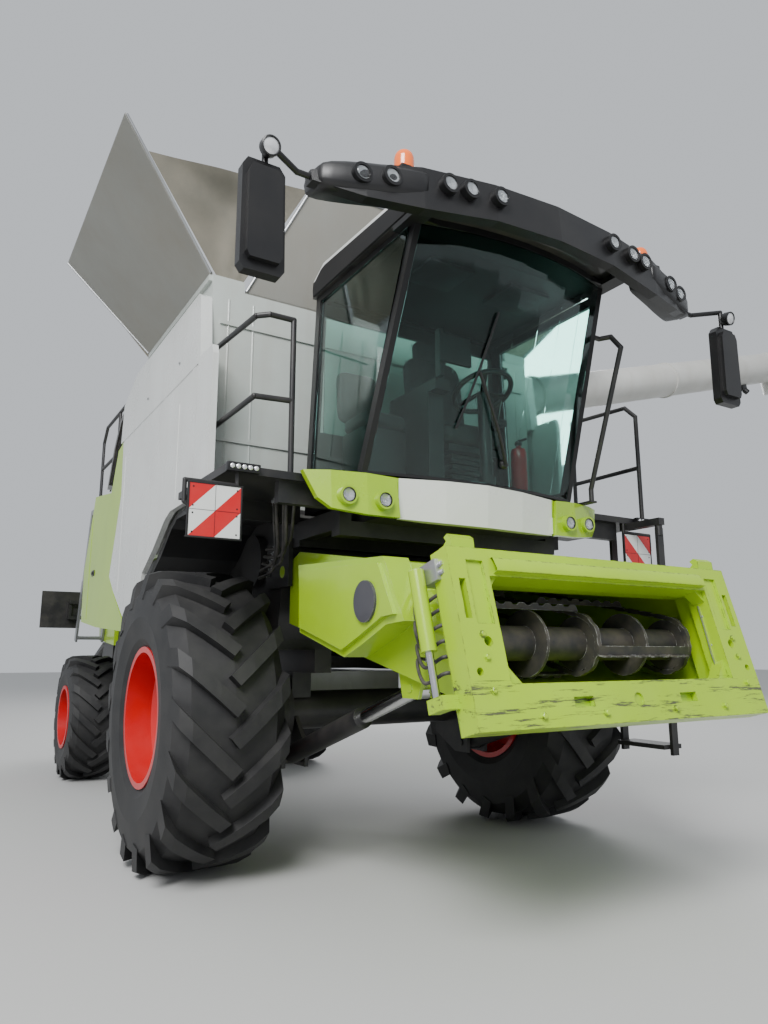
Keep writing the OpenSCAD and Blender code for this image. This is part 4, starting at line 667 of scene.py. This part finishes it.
WING_OUTLINE = [(0.012, -0.50), (0.0, -0.30), (0.0, 0.30), (0.02, 0.48), (0.10, 0.62), (0.20, 0.60),
                (0.22, 0.30), (0.20, -0.36), (0.10, -0.56), (0.04, -0.58)]
WING_STATIONS = [(0.870, 0.72), (0.880, 0.92), (0.91, 1.0), (1.00, 1.03), (1.10, 1.05), (1.20, 1.05),
                 (1.30, 1.0), (1.37, 0.92), (1.41, 0.78), (1.43, 0.55)]
for side, label in SIDES:
    sections = [[at(side * x, follow(x, 1) + 0.012 + out * (0.6 + 0.4 * scale) + 0.05 * (1 - scale),
                    follow(x, 2) + 0.150 * up * scale) for out, up in WING_OUTLINE]
                for x, scale in WING_STATIONS]
    Shape().loft(sections).make("visor_wing_" + label, black_plastic, "black_plastic", crease=50)
print("visor wings follow", len(half_row), "lamps a side")

# %% [markdown]
# The flashing beacons are rounded amber domes on black feet, and the aerial is a thin whip on a rubber
# foot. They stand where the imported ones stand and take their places. All are round, so each is one turned
# profile, and the dome's comes from a rounded curve instead of typed points.

# %% Beacons and aerial
FOOT_HEIGHT = 0.034
feet, domes, whip = Shape(), Shape(), Shape()
beacons = islands("beacons")
for low, high, _ in beacons:
    middle = Vector(((low.x + high.x) / 2, (low.y + high.y) / 2, low.z))
    tall = high.z - low.z
    if tall > 0.3:
        whip.turned([(0.022, 0.0), (0.022, 0.010), (0.012, 0.030), (0.007, 0.050), (0.005, 0.12),
                     (0.0035, tall - 0.01), (0.002, tall)], middle, steps=12)
        continue
    r = min(high.x - low.x, high.y - low.y) / 2
    feet.turned([(r, 0.0), (r, 0.020), (r * 0.93, 0.026), (r * 0.93, FOOT_HEIGHT)], middle)
    rise = tall - FOOT_HEIGHT
    profile = [(r * 0.90, FOOT_HEIGHT)]
    for k in range(1, 9):
        turn = math.pi / 2 * k / 8
        wide = max(r * 0.90 * math.cos(turn) ** 0.6, 0.002)
        profile.append((wide, FOOT_HEIGHT + rise * (0.45 + 0.55 * math.sin(turn))))
    domes.turned(profile, middle)
beacon_feet = feet.make("beacon_feet", black_plastic, "black_plastic")
domes.make("beacon_domes", beacon_finish, "amber_lens", crease=60)
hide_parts("beacons")
whip.make("aerial", black_plastic, "black_plastic")
print("beacons and aerials:", len(beacons))

# %% [markdown]
# Seats are foam under cloth. A cushion is crowned, its sides pull in between the corners, and sewn channels
# press into it. A cloth simulation could inflate it, but here a fine grid is rounded and crowned by a
# formula, which gives the sewn lines their exact place and the same cushion on every run.

# %% Seats
def cushion(name, middle, size, crown, channels, turn=0.0):
    """A crowned pad with rounded sides and sewn channels along its length."""
    made = bmesh.new()
    bmesh.ops.create_cube(made, size=2.0)
    bmesh.ops.subdivide_edges(made, edges=made.edges[:], cuts=22, use_grid_fill=True)
    lean = Matrix.Rotation(turn, 4, "X")
    for vert in made.verts:
        u, v, w = vert.co
        reach = (abs(u) ** 5 + abs(v) ** 5 + abs(w) ** 3) ** 0.2
        round_off = max(abs(u), abs(v), abs(w)) / max(reach, 1e-6)
        u, v, w = u * round_off, v * round_off, w * round_off
        swell = (1 - u * u) * (1 - v * v)
        pull = 1 - 0.05 * (1 - w * w) * (1 - min(1.0, (u * v) ** 2))
        groove = sum(math.exp(-((u - c) / 0.035) ** 2) for c in channels) * 0.012
        groove += math.exp(-((max(abs(u), abs(v)) - 0.84) / 0.03) ** 2) * 0.006
        z = w * size[2] / 2 + (crown * swell - groove * (abs(v) < 0.93)) * max(w, 0.0)
        vert.co = lean @ Vector((u * size[0] / 2 * pull, v * size[1] / 2 * pull, z)) + Vector(middle)
    obj = Shape().pour(made).make(name, seat_cloth, "seat_cloth", crease=80)


DRIVER_X, GUEST_X = 0.06, -0.54
seat_low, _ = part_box("cab_seats")
floor_z = seat_low.z + 0.003
cushion("driver_seat_cushion", at(DRIVER_X, -1.02, floor_z + 0.36), (0.50, 0.48, 0.13), 0.025, (-0.45, 0.45))
cushion("driver_seat_back", at(DRIVER_X, -0.765, floor_z + 0.74), (0.48, 0.62, 0.12), 0.02, (-0.5, 0.5),
        math.radians(82))
cushion("driver_seat_headrest", at(DRIVER_X, -0.715, floor_z + 1.10), (0.28, 0.16, 0.09), 0.012, (),
        math.radians(84))
cushion("passenger_seat_cushion", at(GUEST_X, -0.95, floor_z + 0.40), (0.32, 0.34, 0.09), 0.02, (0.0,))
cushion("passenger_seat_back", at(GUEST_X, -0.730, floor_z + 0.64), (0.32, 0.38, 0.07), 0.012, (0.0,),
        math.radians(85))
print("seats stand on the cab floor at", round(floor_z, 3))

# %% [markdown]
# Under the cushions stands the driver's air seat with its rubber bellows, a steel tube that holds the
# backrest, a box under the second seat and an armrest. Blocks with soft edges are enough here, as the glass
# hides most of it, and the bellows' folds come from rings of two sizes.

# %% Seat base
base = Shape()
base.block(at(DRIVER_X, -1.0, floor_z + 0.015), (0.34, 0.36, 0.03), 0.008)
for ring in range(6):
    inset = 0.02 * (ring % 2)
    base.block(at(DRIVER_X, -1.0, floor_z + 0.05 + ring * 0.035), (0.30 - inset, 0.32 - inset, 0.034), 0.014)
base.block(at(DRIVER_X, -1.0, floor_z + 0.265), (0.40, 0.40, 0.05), 0.01)
base.tube(smooth_line([at(DRIVER_X, -0.80, floor_z + 0.28), at(DRIVER_X, -0.73, floor_z + 0.34),
                       at(DRIVER_X, -0.705, floor_z + 0.60)]), 0.03)
base.block(at(GUEST_X, -0.94, floor_z + 0.175), (0.30, 0.30, 0.35), 0.02)
base.block(at(0.36, -0.98, floor_z + 0.52), (0.09, 0.34, 0.05), 0.018)
seat_base = base.make("seat_base", black_plastic, "black_plastic")
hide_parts("cab_seats")
print("seat base made of", len(base.faces), "faces")

# %% [markdown]
# The raised tank panels are joined at the corners by canvas, which folds away with them. A simulated cloth
# would drape well, but it would take long and could land otherwise on each machine. Each sheet hangs
# between two panel edges, so it is drawn as a grid between its four corners that sags and creases towards
# its middle.

# %% Corner canvases
def hang(name, corners, sag, creases, steps=30):
    """A sheet of cloth between four corners, with a sag and soft creases from corner to corner."""
    a, b, c, d = corners
    out = (b - a).cross(d - a).normalized()
    random.seed(name)
    shift = random.uniform(0, 6)
    verts = []
    for row in range(steps + 1):
        v = row / steps
        for column in range(steps + 1):
            u = column / steps
            spot = (a * (1 - u) + b * u) * (1 - v) + (d * (1 - u) + c * u) * v
            hold = 16 * u * (1 - u) * v * (1 - v)
            fold = math.sin(creases * (u * 0.9 + v * v) + shift)
            fold += 0.6 * math.sin(creases * 1.7 * (u * u - 0.5 * v))
            side_hold = 4 * u * (1 - u)
            loose = 0.25 + 0.75 * abs(math.sin(2.3 * u + 1.7 * v + shift))
            verts.append(spot + out * (sag * hold + 0.011 * fold * loose * side_hold * min(1.0, 6 * v)))
    wide = steps + 1
    faces = [[row * wide + k, row * wide + k + 1, (row + 1) * wide + k + 1, (row + 1) * wide + k]
             for row in range(steps) for k in range(steps)]
    obj = Shape().take(verts, faces).make(name, canvas, "canvas", crease=80)
    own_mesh(obj)
    return obj


TANK_MIDDLE = axle_y + 0.6
for index, (_, _, spots) in enumerate(islands("tank_corner_canvas")):
    spots.sort(key=lambda p: p.z)
    foot = sorted(spots[:4], key=lambda p: p.x)
    head = sorted(spots[4:], key=lambda p: p.x)
    ends = [sum(pair, Vector()) / 2 for pair in (foot[:2], foot[2:], head[2:], head[:2])]
    sag = 0.05 if ends[0].y > TANK_MIDDLE else -0.05
    hang("corner_canvas_%d" % (index + 1), ends, sag, 8.5)
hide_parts("tank_corner_canvas")

# %% [markdown]
# The feeder's front is full of hydraulics. A hose could be a curve object with a round bevel, but the part
# needs a mesh, so a tube is swept along a smooth line. It leaves its port
# straight, bulges outwards and comes back, as a stiff hose does between two fixed ends.

# %% Hoses on the feeder
hose_rubber = finish("hose_rubber", (0.013, 0.013, 0.014), rough=0.5, dusty=(9.0, 0.25, 0.4),
                     bump=(500.0, 20.0, 0.08))
LEAN = math.radians(15)
FRAME_TOP = (-2.285, 1.767)
OUT_OF_FACE = (0, -math.cos(LEAN), math.sin(LEAN))


def on_frame(x, out, up):
    """A place on the leaning header frame: sideways, behind its front face, and along its height."""
    return at(x, FRAME_TOP[0] + out * math.cos(LEAN) + up * math.sin(LEAN),
              FRAME_TOP[1] - out * math.sin(LEAN) + up * math.cos(LEAN))


def hose(name, spots, diameter, body, fittings):
    """A hose through some places, with a steel fitting at each end."""
    line = smooth_line(spots, 14)
    obj = Shape().tube(line, diameter / 2, 12).make(name, hose_rubber, "black_plastic", body, crease=60)
    r = diameter / 2
    for spot, way in ((line[0], line[1] - line[0]), (line[-1], line[-2] - line[-1])):
        fittings.turned([(r * 0.9, 0.0), (r * 1.7, 0.001), (r * 1.7, 0.012), (r * 1.25, 0.013),
                         (r * 1.25, 0.034), (r * 1.04, 0.036)], spot, way, steps=12)


feeder_fittings = Shape()
for index in range(6):
    start, _ = touch("feeder_house", at(-1.5, -1.93 - 0.012 * index, 1.60 - 0.066 * index), (1, 0, 0))
    end = on_frame(-0.906, 0.15, -0.18 - 0.070 * index)
    out = Vector((-0.05 - 0.006 * index, 0, 0))
    middle = (start + end) / 2 + Vector((-0.10 - 0.01 * (index % 3), -0.01, -0.07))
    hose("feeder_hose_%d" % (index + 1), [start, start + out, middle, end + out, end], 0.017, "feeder",
         feeder_fittings)
feeder_fittings.make("feeder_hose_fittings", zinc_steel, "bare_steel", "feeder")

coupler = Shape()
coupler.block(on_frame(-0.955, 0.13, -0.085), (0.09, 0.12, 0.10), 0.006, Matrix.Rotation(-LEAN, 3, "X"))
for index in range(4):
    port = on_frame(-0.975 + 0.036 * (index % 2), 0.07, -0.065 - 0.038 * (index // 2))
    coupler.turned([(0.013, 0.0), (0.013, 0.018), (0.009, 0.020), (0.009, 0.026), (0.004, 0.026)], port,
                   OUT_OF_FACE, steps=16)
coupler.make("hydraulic_coupler", zinc_steel, "bare_steel", "feeder")
print("hoses on the feeder: 6")

# %% [markdown]
# Above the feeder's mouth a bent lime sheet guides the crop in, and bare steel strips guard the mouth's
# sides where each header rubs them. Sheet metal is folded from one outline, so both are lofted that way:
# the outline, drawn once, is carried across the frame.

# %% Guide sheet and guard strips of the mouth
def folded(shape, outline, x0, x1, thick, steps):
    """A folded sheet across the frame: its outline is places behind the face and along the height."""
    shape.loft([[on_frame(x, out, up) for out, up in outline]
                + [on_frame(x, out + thick, up + thick) for out, up in reversed(outline)]
                for x in (x0 + (x1 - x0) * step / steps for step in range(steps + 1))])


guide = Shape()
folded(guide, [(-0.001, -0.046), (-0.014, -0.047), (-0.018, -0.054), (-0.034, -0.106), (-0.032, -0.114),
               (-0.001, -0.118)], -0.735, 0.735, 0.003, 8)
guide.make("mouth_guide_sheet", frame_finish, "lime_paint", "header_frame", crease=50)
guards = Shape()
for side, _ in SIDES:
    folded(guards, [(0.064, -0.200), (0.066, -0.330), (0.072, -0.470), (0.066, -0.640)], side * 0.786,
           side * 0.748, 0.003, 3)
    for up in (-0.26, -0.42, -0.58):
        guards.turned([(0.010, 0.0), (0.010, 0.003), (0.006, 0.006)], on_frame(side * 0.767, 0.062, up),
                      OUT_OF_FACE, steps=12)
guards.make("mouth_guard_strips", zinc_steel, "bare_steel", "feeder")
print("guide sheet and guards laid")

# %% [markdown]
# Along the roof's side runs a black moulding, so that only a slim pale rim of the roof shows above it. A
# second colour on the roof would leave it flat, so a thin crowned strip is lofted along the roof's own
# line.

# %% Roof mouldings
matt_black = finish("matt_black", (0.006, 0.006, 0.007), rough=0.62, dusty=(3.0, 0.01, 0.3))
ROOF_LINE = [(-0.56, 3.850), (-0.70, 3.930), (-1.70, 3.885), (-1.93, 3.845)]
STRIP_FOOT = 3.737
roof_low, roof_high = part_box("cab_roof")


def roof_top(back):
    """Height of the roof's top at this distance behind the front axle."""
    for (y0, z0), (y1, z1) in zip(ROOF_LINE, ROOF_LINE[1:]):
        if back >= y1 or (y1, z1) == ROOF_LINE[-1]:
            return z0 + (z1 - z0) * (back - y0) / (y1 - y0)


for side, label in SIDES:
    edge_x = roof_low.x if side < 0 else roof_high.x
    sections = []
    for k in range(25):
        back = -0.565 - 1.36 * k / 24
        top = roof_top(back) - 0.030
        outline = ((0.0, STRIP_FOOT - 0.004), (0.012, STRIP_FOOT), (0.014, (STRIP_FOOT + top) / 2),
                   (0.012, top - 0.004), (0.0, top))
        sections.append([Vector((edge_x + side * out, axle_y + back, z)) for out, z in outline])
    Shape().loft(sections).make("roof_moulding_" + label, matt_black, "black_plastic")
print("roof mouldings have", len(sections), "sections each")

# %% [markdown]
# Each marker plate is held in a slim dark frame, with a seam where its four tiles meet and small screws.
# They stand a little proud of the plate, so that they catch the light, which a drawn line wouldn't do.

# %% Marker plate frames
for side, label in SIDES:
    rim = Shape()
    middle_x = side * PLATE_SIDE
    reach = PLATE_SIZE / 2 + 0.0035
    for x, z, size in ((0, reach, (0.305, 0.014, 0.010)), (0, -reach, (0.305, 0.014, 0.010)),
                       (reach, 0, (0.010, 0.014, 0.280)), (-reach, 0, (0.010, 0.014, 0.280))):
        rim.block(at(middle_x + x, -1.156, PLATE_HEIGHT + z), size, 0.0025)
    for size in ((0.280, 0.0012, 0.0022), (0.0022, 0.0012, 0.280)):
        rim.block(at(middle_x, -1.1605, PLATE_HEIGHT), size, 0.0004)
    for x in (-0.12, 0.12):
        for z in (-0.12, 0.12, -0.02, 0.02):
            rim.turned([(0.005, 0.0), (0.005, 0.001), (0.003, 0.002)],
                       at(middle_x + x, -1.160, PLATE_HEIGHT + z), (0, -1, 0), steps=10)
    rim.make("marker_plate_frame_" + label, matt_black, "black_plastic")
print("marker plates framed")

# %% [markdown]
# Beside the wheel, hoses drop from the platform and turn back to the machine's side. They are the same
# swept tubes as on the feeder, each of its own length, and their ends are found by a look at the packed
# surfaces.

# %% Hoses beside the platform
platform_fittings = Shape()
hung = 0
for side, label in SIDES:
    for index in range(5):
        under = at(side * (1.06 + 0.015 * (index % 2)), -0.86 + 0.075 * index, 1.9)
        beside = at(side * 2, -0.24 + 0.03 * index, 2.02 - 0.045 * index)
        top, _ = touch("platform", under, (0, 0, 1))
        end, _ = touch("thresher_body", beside, (-side, 0, 0))
        if top is None or end is None:
            continue
        low = (top + end) / 2 + Vector((side * 0.02, -0.10, -0.16 - 0.03 * (index % 3)))
        spots = [top, top + Vector((0, -0.01, -0.10)), low, end + Vector((side * 0.09, -0.03, -0.03)), end]
        hose("platform_hose_%s_%d" % (label, index + 1), spots, 0.019 + 0.004 * (index % 2), "root",
             platform_fittings)
        hung += 1
platform_fittings.make("platform_hose_fittings", zinc_steel, "bare_steel")
print("hoses beside the platform:", hung)

# %% [markdown]
# Bolts could be copies of one mesh, but a joined mesh is lighter to export. Each is turned with six sides
# and seated on the surface that a straight look meets, so that it follows the dish of a wheel or the lean
# of the frame without typed heights.

# %% Bolts
HEX = [(0.021, 0.0), (0.021, 0.003), (0.0145, 0.0035), (0.0145, 0.013), (0.011, 0.0155)]


def bolt(shape, node, start, way, size=1.0):
    """One bolt head with its washer, on the surface that lies that way."""
    spot, normal = touch(node, start, way)
    if spot is not None:
        shape.turned([(r * size, h * size) for r, h in HEX], spot - normal * 0.0004, normal, steps=6)


for side, label in SIDES:
    for wheel, node, (back, height), count, ring, size in (
            ("front_wheel", "front_rim_", FRONT_WHEEL, 10, 0.19, 1.3),
            ("rear_wheel", "rear_wheel_", REAR_WHEEL, 8, 0.14, 1.1)):
        heads = Shape()
        for k in range(count):
            turn = math.tau * k / count
            start = at(side * 3, back + ring * math.cos(turn), height + ring * math.sin(turn))
            bolt(heads, node + label, start, (-side, 0, 0), size)
        heads.make("%s_bolts_%s" % (wheel, label), zinc_steel, "bare_steel", "%s_%s" % (wheel, label))

frame_bolts = Shape()
into = (0, math.cos(LEAN), -math.sin(LEAN))
for x in (-0.62, -0.24, 0.24, 0.62):
    bolt(frame_bolts, "header_frame", on_frame(x, -0.4, -0.755), into)
for side, _ in SIDES:
    for up in (-0.40, -0.50, -0.64):
        bolt(frame_bolts, "header_frame", on_frame(side * 0.865, -0.4, up), into, 0.9)
frame_bolts.make("header_frame_bolts", frame_finish, "lime_paint", "header_frame")

band_bolts = Shape()
for side, _ in SIDES:
    for back in (0.18, 1.06):
        bolt(band_bolts, "tank_side_bands", at(side * 3, back, 3.36), (-side, 0, 0), 0.6)
band_bolts.make("tank_band_bolts", zinc_steel, "bare_steel")
print("bolts seated")

# %% [markdown]
# The raised tank panels are folded from sheet, and their cut edges show a bright zinc rim. Typed lines
# would miss the edge as soon as a panel changed, so the rim follows the panel's own long edges, which are
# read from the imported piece.

# %% Zinc rims of the tank panels
for label in ("right", "left", "front", "rear"):
    made = bmesh.new()
    made.from_mesh(nodes["tank_flap_" + label].data)
    bmesh.ops.remove_doubles(made, verts=made.verts, dist=0.0001)
    bmesh.ops.dissolve_limit(made, angle_limit=0.02, verts=made.verts, edges=made.edges)
    rims = Shape()
    taken = []
    for edge in sorted(made.edges, key=lambda e: -e.calc_length()):
        a, b = (v.co.copy() for v in edge.verts)
        middle = (a + b) / 2
        close = any((middle - other).length < 0.05 for other in taken)
        if edge.calc_length() < 0.35 or middle.z < 3.98 or close:
            continue
        taken.append(middle)
        along = (b - a).normalized()
        rims.tube([a + along * 0.004, middle, b - along * 0.004], 0.010, 8)
    made.free()
    rims.make("tank_flap_rim_" + label, zinc_steel, "bare_steel", "flap_" + label)
    print("rims on panel", label, len(taken))

# %% [markdown]
# A sheet panel is never one bare face: the tank's front wall is pressed with stiffening beads, and the side
# panels have folded seams. A bump would vanish at a flat angle, so each bead is a low rounded bar, laid on
# the panel's own surface and sunk by half.

# %% Panel beads
def bead(shape, node, spots, way, radius):
    """A rounded bead along places on a packed panel."""
    found = [touch(node, spot, way)[0] for spot in spots]
    line = [spot + Vector(way) * radius * 0.5 for spot in found if spot is not None]
    if len(line) > 1:
        shape.tube(line, radius, 10)


wall = Shape()
for x in (-1.30, -1.12, 1.12, 1.30):
    bead(wall, "grain_tank", [at(x, -1.2, z) for z in (2.55, 3.0, 3.4, 3.72)], (0, 1, 0), 0.010)
wall.make("tank_wall_beads", tank_finish, "tank_paint")

PANEL_ENDS = (("front", pale_panel, "pale_panel"), ("rear", lime_paint, "lime_paint"))
for side, label in SIDES:
    for end, finish_used, slot_name in PANEL_ENDS:
        node = "side_panel_%s_%s" % (label, end)
        low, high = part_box(node)
        seam = Shape()
        for share in (0.16, 0.84):
            y = low.y + (high.y - low.y) * share
            spots = [Vector((axle_x + side * 3, y, low.z + (high.z - low.z) * k / 10)) for k in range(1, 10)]
            bead(seam, node, spots, (-side, 0, 0), 0.006)
        if seam.verts:
            name = "panel_seam_%s_%s" % (label, end)
            seam.make(name, finish_used, slot_name, "panel_%s_%s" % (label, end))
print("beads and seams laid")

# %% [markdown]
# Each mirror holds two panes and carries a small round lamp. A mirror needs no image: a pane with the
# finish of bright chrome reflects the scene by itself. The lamp's bowl and lens are two turned profiles on
# one axis.

# %% Mirrors and their lamps
LAMP_WAY = (0, 1, 0.25)
for side, label in SIDES:
    glass = Shape()
    for z, tall in ((3.36, 0.34), (3.10, 0.14)):
        glass.block(at(side * 1.738, -1.8985, z), (0.165, 0.004, tall), 0.0018)
    glass.make("mirror_glass_" + label, bright_rod, "hard_chrome")
    ball = at(side * 1.735, -2.005, 3.618)
    lamp = Shape()
    lamp.turned([(0.012, 0.055), (0.034, 0.050), (0.046, 0.030), (0.048, 0.0), (0.048, -0.012),
                 (0.042, -0.016), (0.040, -0.010), (0.020, 0.012), (0.002, 0.014)], ball, LAMP_WAY)
    lamp.turned([(0.013, 0.0), (0.013, 0.012), (0.008, 0.014), (0.008, 0.045)],
                at(side * 1.735, -1.950, 3.618), (0, -1, 0), steps=16)
    lamp.make("mirror_lamp_" + label, black_plastic, "black_plastic")
    lens = Shape()
    lens.turned([(0.001, -0.018), (0.025, -0.015), (0.039, -0.009), (0.039, -0.006), (0.001, -0.008)], ball,
                LAMP_WAY)
    lens.make("mirror_lamp_lens_" + label, reflector, "lamp_lens")
print("mirrors glazed")

# %% [markdown]
# The wiper's blade lies on a curved windscreen. Its places are found by looking at the glass from the
# front, so it bends as the glass does, and a typed straight bar would cut through the pane.

# %% Windscreen wiper
def before_glass(places, gaps):
    """Places just in front of the windscreen, each at its own gap."""
    found = [touch("windscreen", at(x, -4, z), (0, 1, 0))[0] for x, z in places]
    return [spot + Vector((0, -gap, 0)) for spot, gap in zip(found, gaps) if spot is not None]


blade = before_glass([(-0.30, 2.62), (-0.24, 2.85), (-0.19, 3.08), (-0.15, 3.30)], [0.014] * 4)
arm = before_glass([(0.10, 2.46), (-0.02, 2.66), (-0.21, 2.95)], [0.032, 0.032, 0.022])
wiper = Shape()
wiper.tube(smooth_line(blade), 0.008, 8)
wiper.tube(smooth_line(arm), 0.010, 8)
wiper.turned([(0.030, 0.0), (0.030, 0.014), (0.022, 0.026), (0.006, 0.030)], arm[0] + Vector((0, 0.030, 0)),
             (0, -1, 0.15), steps=20)
wiper.make("windscreen_wiper", black_plastic, "black_plastic")
print("wiper laid along", len(blade), "places")

# %% [markdown]
# Inside, the roof has a dark lining with two consoles, and a fire extinguisher stands on the floor. They
# show only through the tinted glass, so their main forms and colours are enough.

# %% Cab lining and extinguisher
lining = Shape()
lining.block(at(0, -1.22, 3.709), (1.42, 1.14, 0.036), 0.012)
for x in (-0.30, 0.34):
    lining.block(at(x, -1.35, 3.680), (0.34, 0.30, 0.030), 0.012)
lining.make("roof_lining", black_plastic, "black_plastic")

BOTTLE_X = 0.43
bottle = Shape()
bottle.turned([(0.050, 0.0), (0.054, 0.006), (0.054, 0.290), (0.046, 0.318), (0.020, 0.330), (0.016, 0.338),
               (0.016, 0.350)], at(BOTTLE_X, -1.22, floor_z), steps=24)
bottle.make("fire_extinguisher", red_rim, "red_rim")
head = Shape()
head.turned([(0.018, 0.344), (0.024, 0.350), (0.024, 0.366), (0.010, 0.372)], at(BOTTLE_X, -1.22, floor_z),
            steps=16)
head.block(at(BOTTLE_X, -1.25, floor_z + 0.375), (0.016, 0.10, 0.012), 0.003)
head.make("fire_extinguisher_head", black_plastic, "black_plastic")
print("cab fittings made")

# %% [markdown]
# A marker light with five small lenses sits at each platform end, and a camera hangs under the unloading
# tube, in a housing that leans with the tube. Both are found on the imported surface, and each lens is turned
# by itself, as separate lenses catch separate lights.

# %% Marker lights and tube camera
for x, label in ((-1.50, "right"), (1.72, "left")):
    edge, _ = touch("platform", at(x, -3, 2.29), (0, 1, 0))
    front = min(edge.y - axle_y if edge else -1.14, -1.12)
    shell = Shape()
    shell.block(at(x, front - 0.020, 2.290), (0.19, 0.040, 0.052), 0.008)
    shell.make("marker_light_shell_" + label, black_plastic, "black_plastic")
    lens = Shape()
    for k in range(5):
        lens.turned([(0.013, 0.0), (0.013, 0.004), (0.008, 0.008), (0.002, 0.009)],
                    at(x - 0.068 + 0.034 * k, front - 0.0398, 2.291), (0, -1, 0), steps=16)
    lens.make("marker_light_lens_" + label, reflector, "lamp_lens")

TUBE_LEAN = math.radians(15.7)
spot, _ = touch("auger_tube", at(5.55, 0.3, 3.6), (0, 0, 1))
eye = Shape()
eye.block(spot + Vector((0, 0, -0.030)), (0.10, 0.09, 0.075), 0.012, Matrix.Rotation(-TUBE_LEAN, 3, "Y"))
eye.turned([(0.034, 0.0), (0.034, 0.050), (0.028, 0.058), (0.026, 0.050), (0.002, 0.046)],
           spot + Vector((0.02, -0.02, -0.055)), (0.45, -0.5, -0.75), steps=24)
eye.make("auger_camera", black_plastic, "black_plastic", "auger")
print("marker lights and tube camera made")

# %% [markdown]
# The side panels are held shut by latches, and a teal rubber seal runs beside the feeder's mouth. A latch
# is two soft blocks on the spot that a look from the side meets. The seal is a short tube that wanders a
# little, as rubber does.

# %% Latches and seal
LATCHES = [("front", 1.95, 0.75), ("front", 0.05, 1.9), ("rear", 3.3, 1.5), ("rear", 2.9, 2.1)]
MARGIN = 0.12
for side, label in SIDES:
    for index, (end, back, height) in enumerate(LATCHES):
        node = "side_panel_%s_%s" % (label, end)
        low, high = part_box(node)
        height = min(max(height, low.z + MARGIN), high.z - MARGIN)
        back = min(max(back + axle_y, low.y + MARGIN), high.y - MARGIN)
        spot, _ = touch(node, Vector((axle_x + side * 3, back, height)), (-side, 0, 0))
        if spot is None:
            continue
        latch = Shape()
        latch.block(spot + Vector((side * 0.003, 0, 0)), (0.010, 0.11, 0.055), 0.004)
        latch.block(spot + Vector((side * 0.010, 0.012, 0)), (0.012, 0.06, 0.028), 0.005)
        latch.make("panel_latch_%s_%d" % (label, index + 1), black_plastic, "black_plastic",
                   "panel_%s_%s" % (label, end))

teal_rubber = finish("teal_rubber", (0.01, 0.20, 0.17), rough=0.55, dusty=(6.0, 0.2, 0.4))
seal = Shape()
seal.tube(smooth_line([on_frame(-0.920, 0.080, -0.20), on_frame(-0.928, 0.085, -0.34),
                       on_frame(-0.920, 0.082, -0.50), on_frame(-0.926, 0.084, -0.66)]), 0.014, 10)
seal.make("frame_seal", teal_rubber, "black_plastic", "feeder")
print("latches and seal made")

# %% [markdown]
# The studio floor is one wide pale sheet. A curved backdrop would hide the horizon too, but a plain floor
# keeps the same shadow under the machine from every side.

# %% Studio floor
reach = 60.0
floor_mesh = bpy.data.meshes.new("studio_floor")
floor_mesh.from_pydata([(-reach, -reach, 0), (reach, -reach, 0), (reach, reach, 0), (-reach, reach, 0)], [],
                       [(0, 1, 2, 3)])
floor = bpy.data.objects.new("studio_floor", floor_mesh)
bpy.context.scene.collection.objects.link(floor)
floor_grey = bpy.data.materials.new("studio_floor")
floor_grey.use_nodes = True
floor_shader = floor_grey.node_tree.nodes["Principled BSDF"]
floor_shader.inputs["Base Color"].default_value = (0.50, 0.50, 0.49, 1)
floor_shader.inputs["Roughness"].default_value = 0.85
floor_mesh.materials.append(floor_grey)
print("floor laid,", 2 * reach, "metres wide")

# %% [markdown]
# The light is soft, as on an overcast day: a bright even sky, one broad lamp from the front left and a
# weaker one behind. A sun would draw hard shadows over the small forms, and large lamps give soft ones.

# %% Studio light
world = bpy.data.worlds.new("studio")
bpy.context.scene.world = world
world.use_nodes = True
sky = world.node_tree.nodes["Background"]
sky.inputs["Color"].default_value = (0.86, 0.90, 0.95, 1)
sky.inputs["Strength"].default_value = 0.74


def soft_lamp(name, place, aim, size, power):
    """A broad lamp that points at a place."""
    lamp = bpy.data.lights.new(name, "AREA")
    lamp.size = size
    lamp.energy = power
    holder = bpy.data.objects.new(name, lamp)
    holder.location = place
    holder.rotation_euler = (Vector(aim) - Vector(place)).to_track_quat("-Z", "Y").to_euler()
    bpy.context.scene.collection.objects.link(holder)


soft_lamp("key_lamp", at(-9, -9, 12), at(0, 0, 1.5), 7.0, 3600)
soft_lamp("rear_lamp", at(10, 12, 11), at(0, 2, 2), 9.0, 1500)
print("lamps lit:", len(bpy.data.lights))

# %% [markdown]
# The camera stands where the photographer stood, low in front of the right wheel, with a wide lens that
# looks slightly up. Its place and lens could be found by trial, but were solved from the machine's known
# sizes in the photograph, so that lines meet where they do there.

# %% Camera
TILT_UP, ROLL, TURN = 10.92, 0.09, -31.54
camera = bpy.data.cameras.new("photo_camera")
camera.sensor_width = 36.0
camera.lens = 26.16
holder = bpy.data.objects.new("photo_camera", camera)
holder.location = at(-2.897, -4.898, 1.292)
holder.rotation_euler = (math.radians(90 + TILT_UP), math.radians(ROLL), math.radians(TURN))
bpy.context.scene.collection.objects.link(holder)
bpy.context.scene.camera = holder
print("camera stands at", [round(c, 3) for c in holder.location])
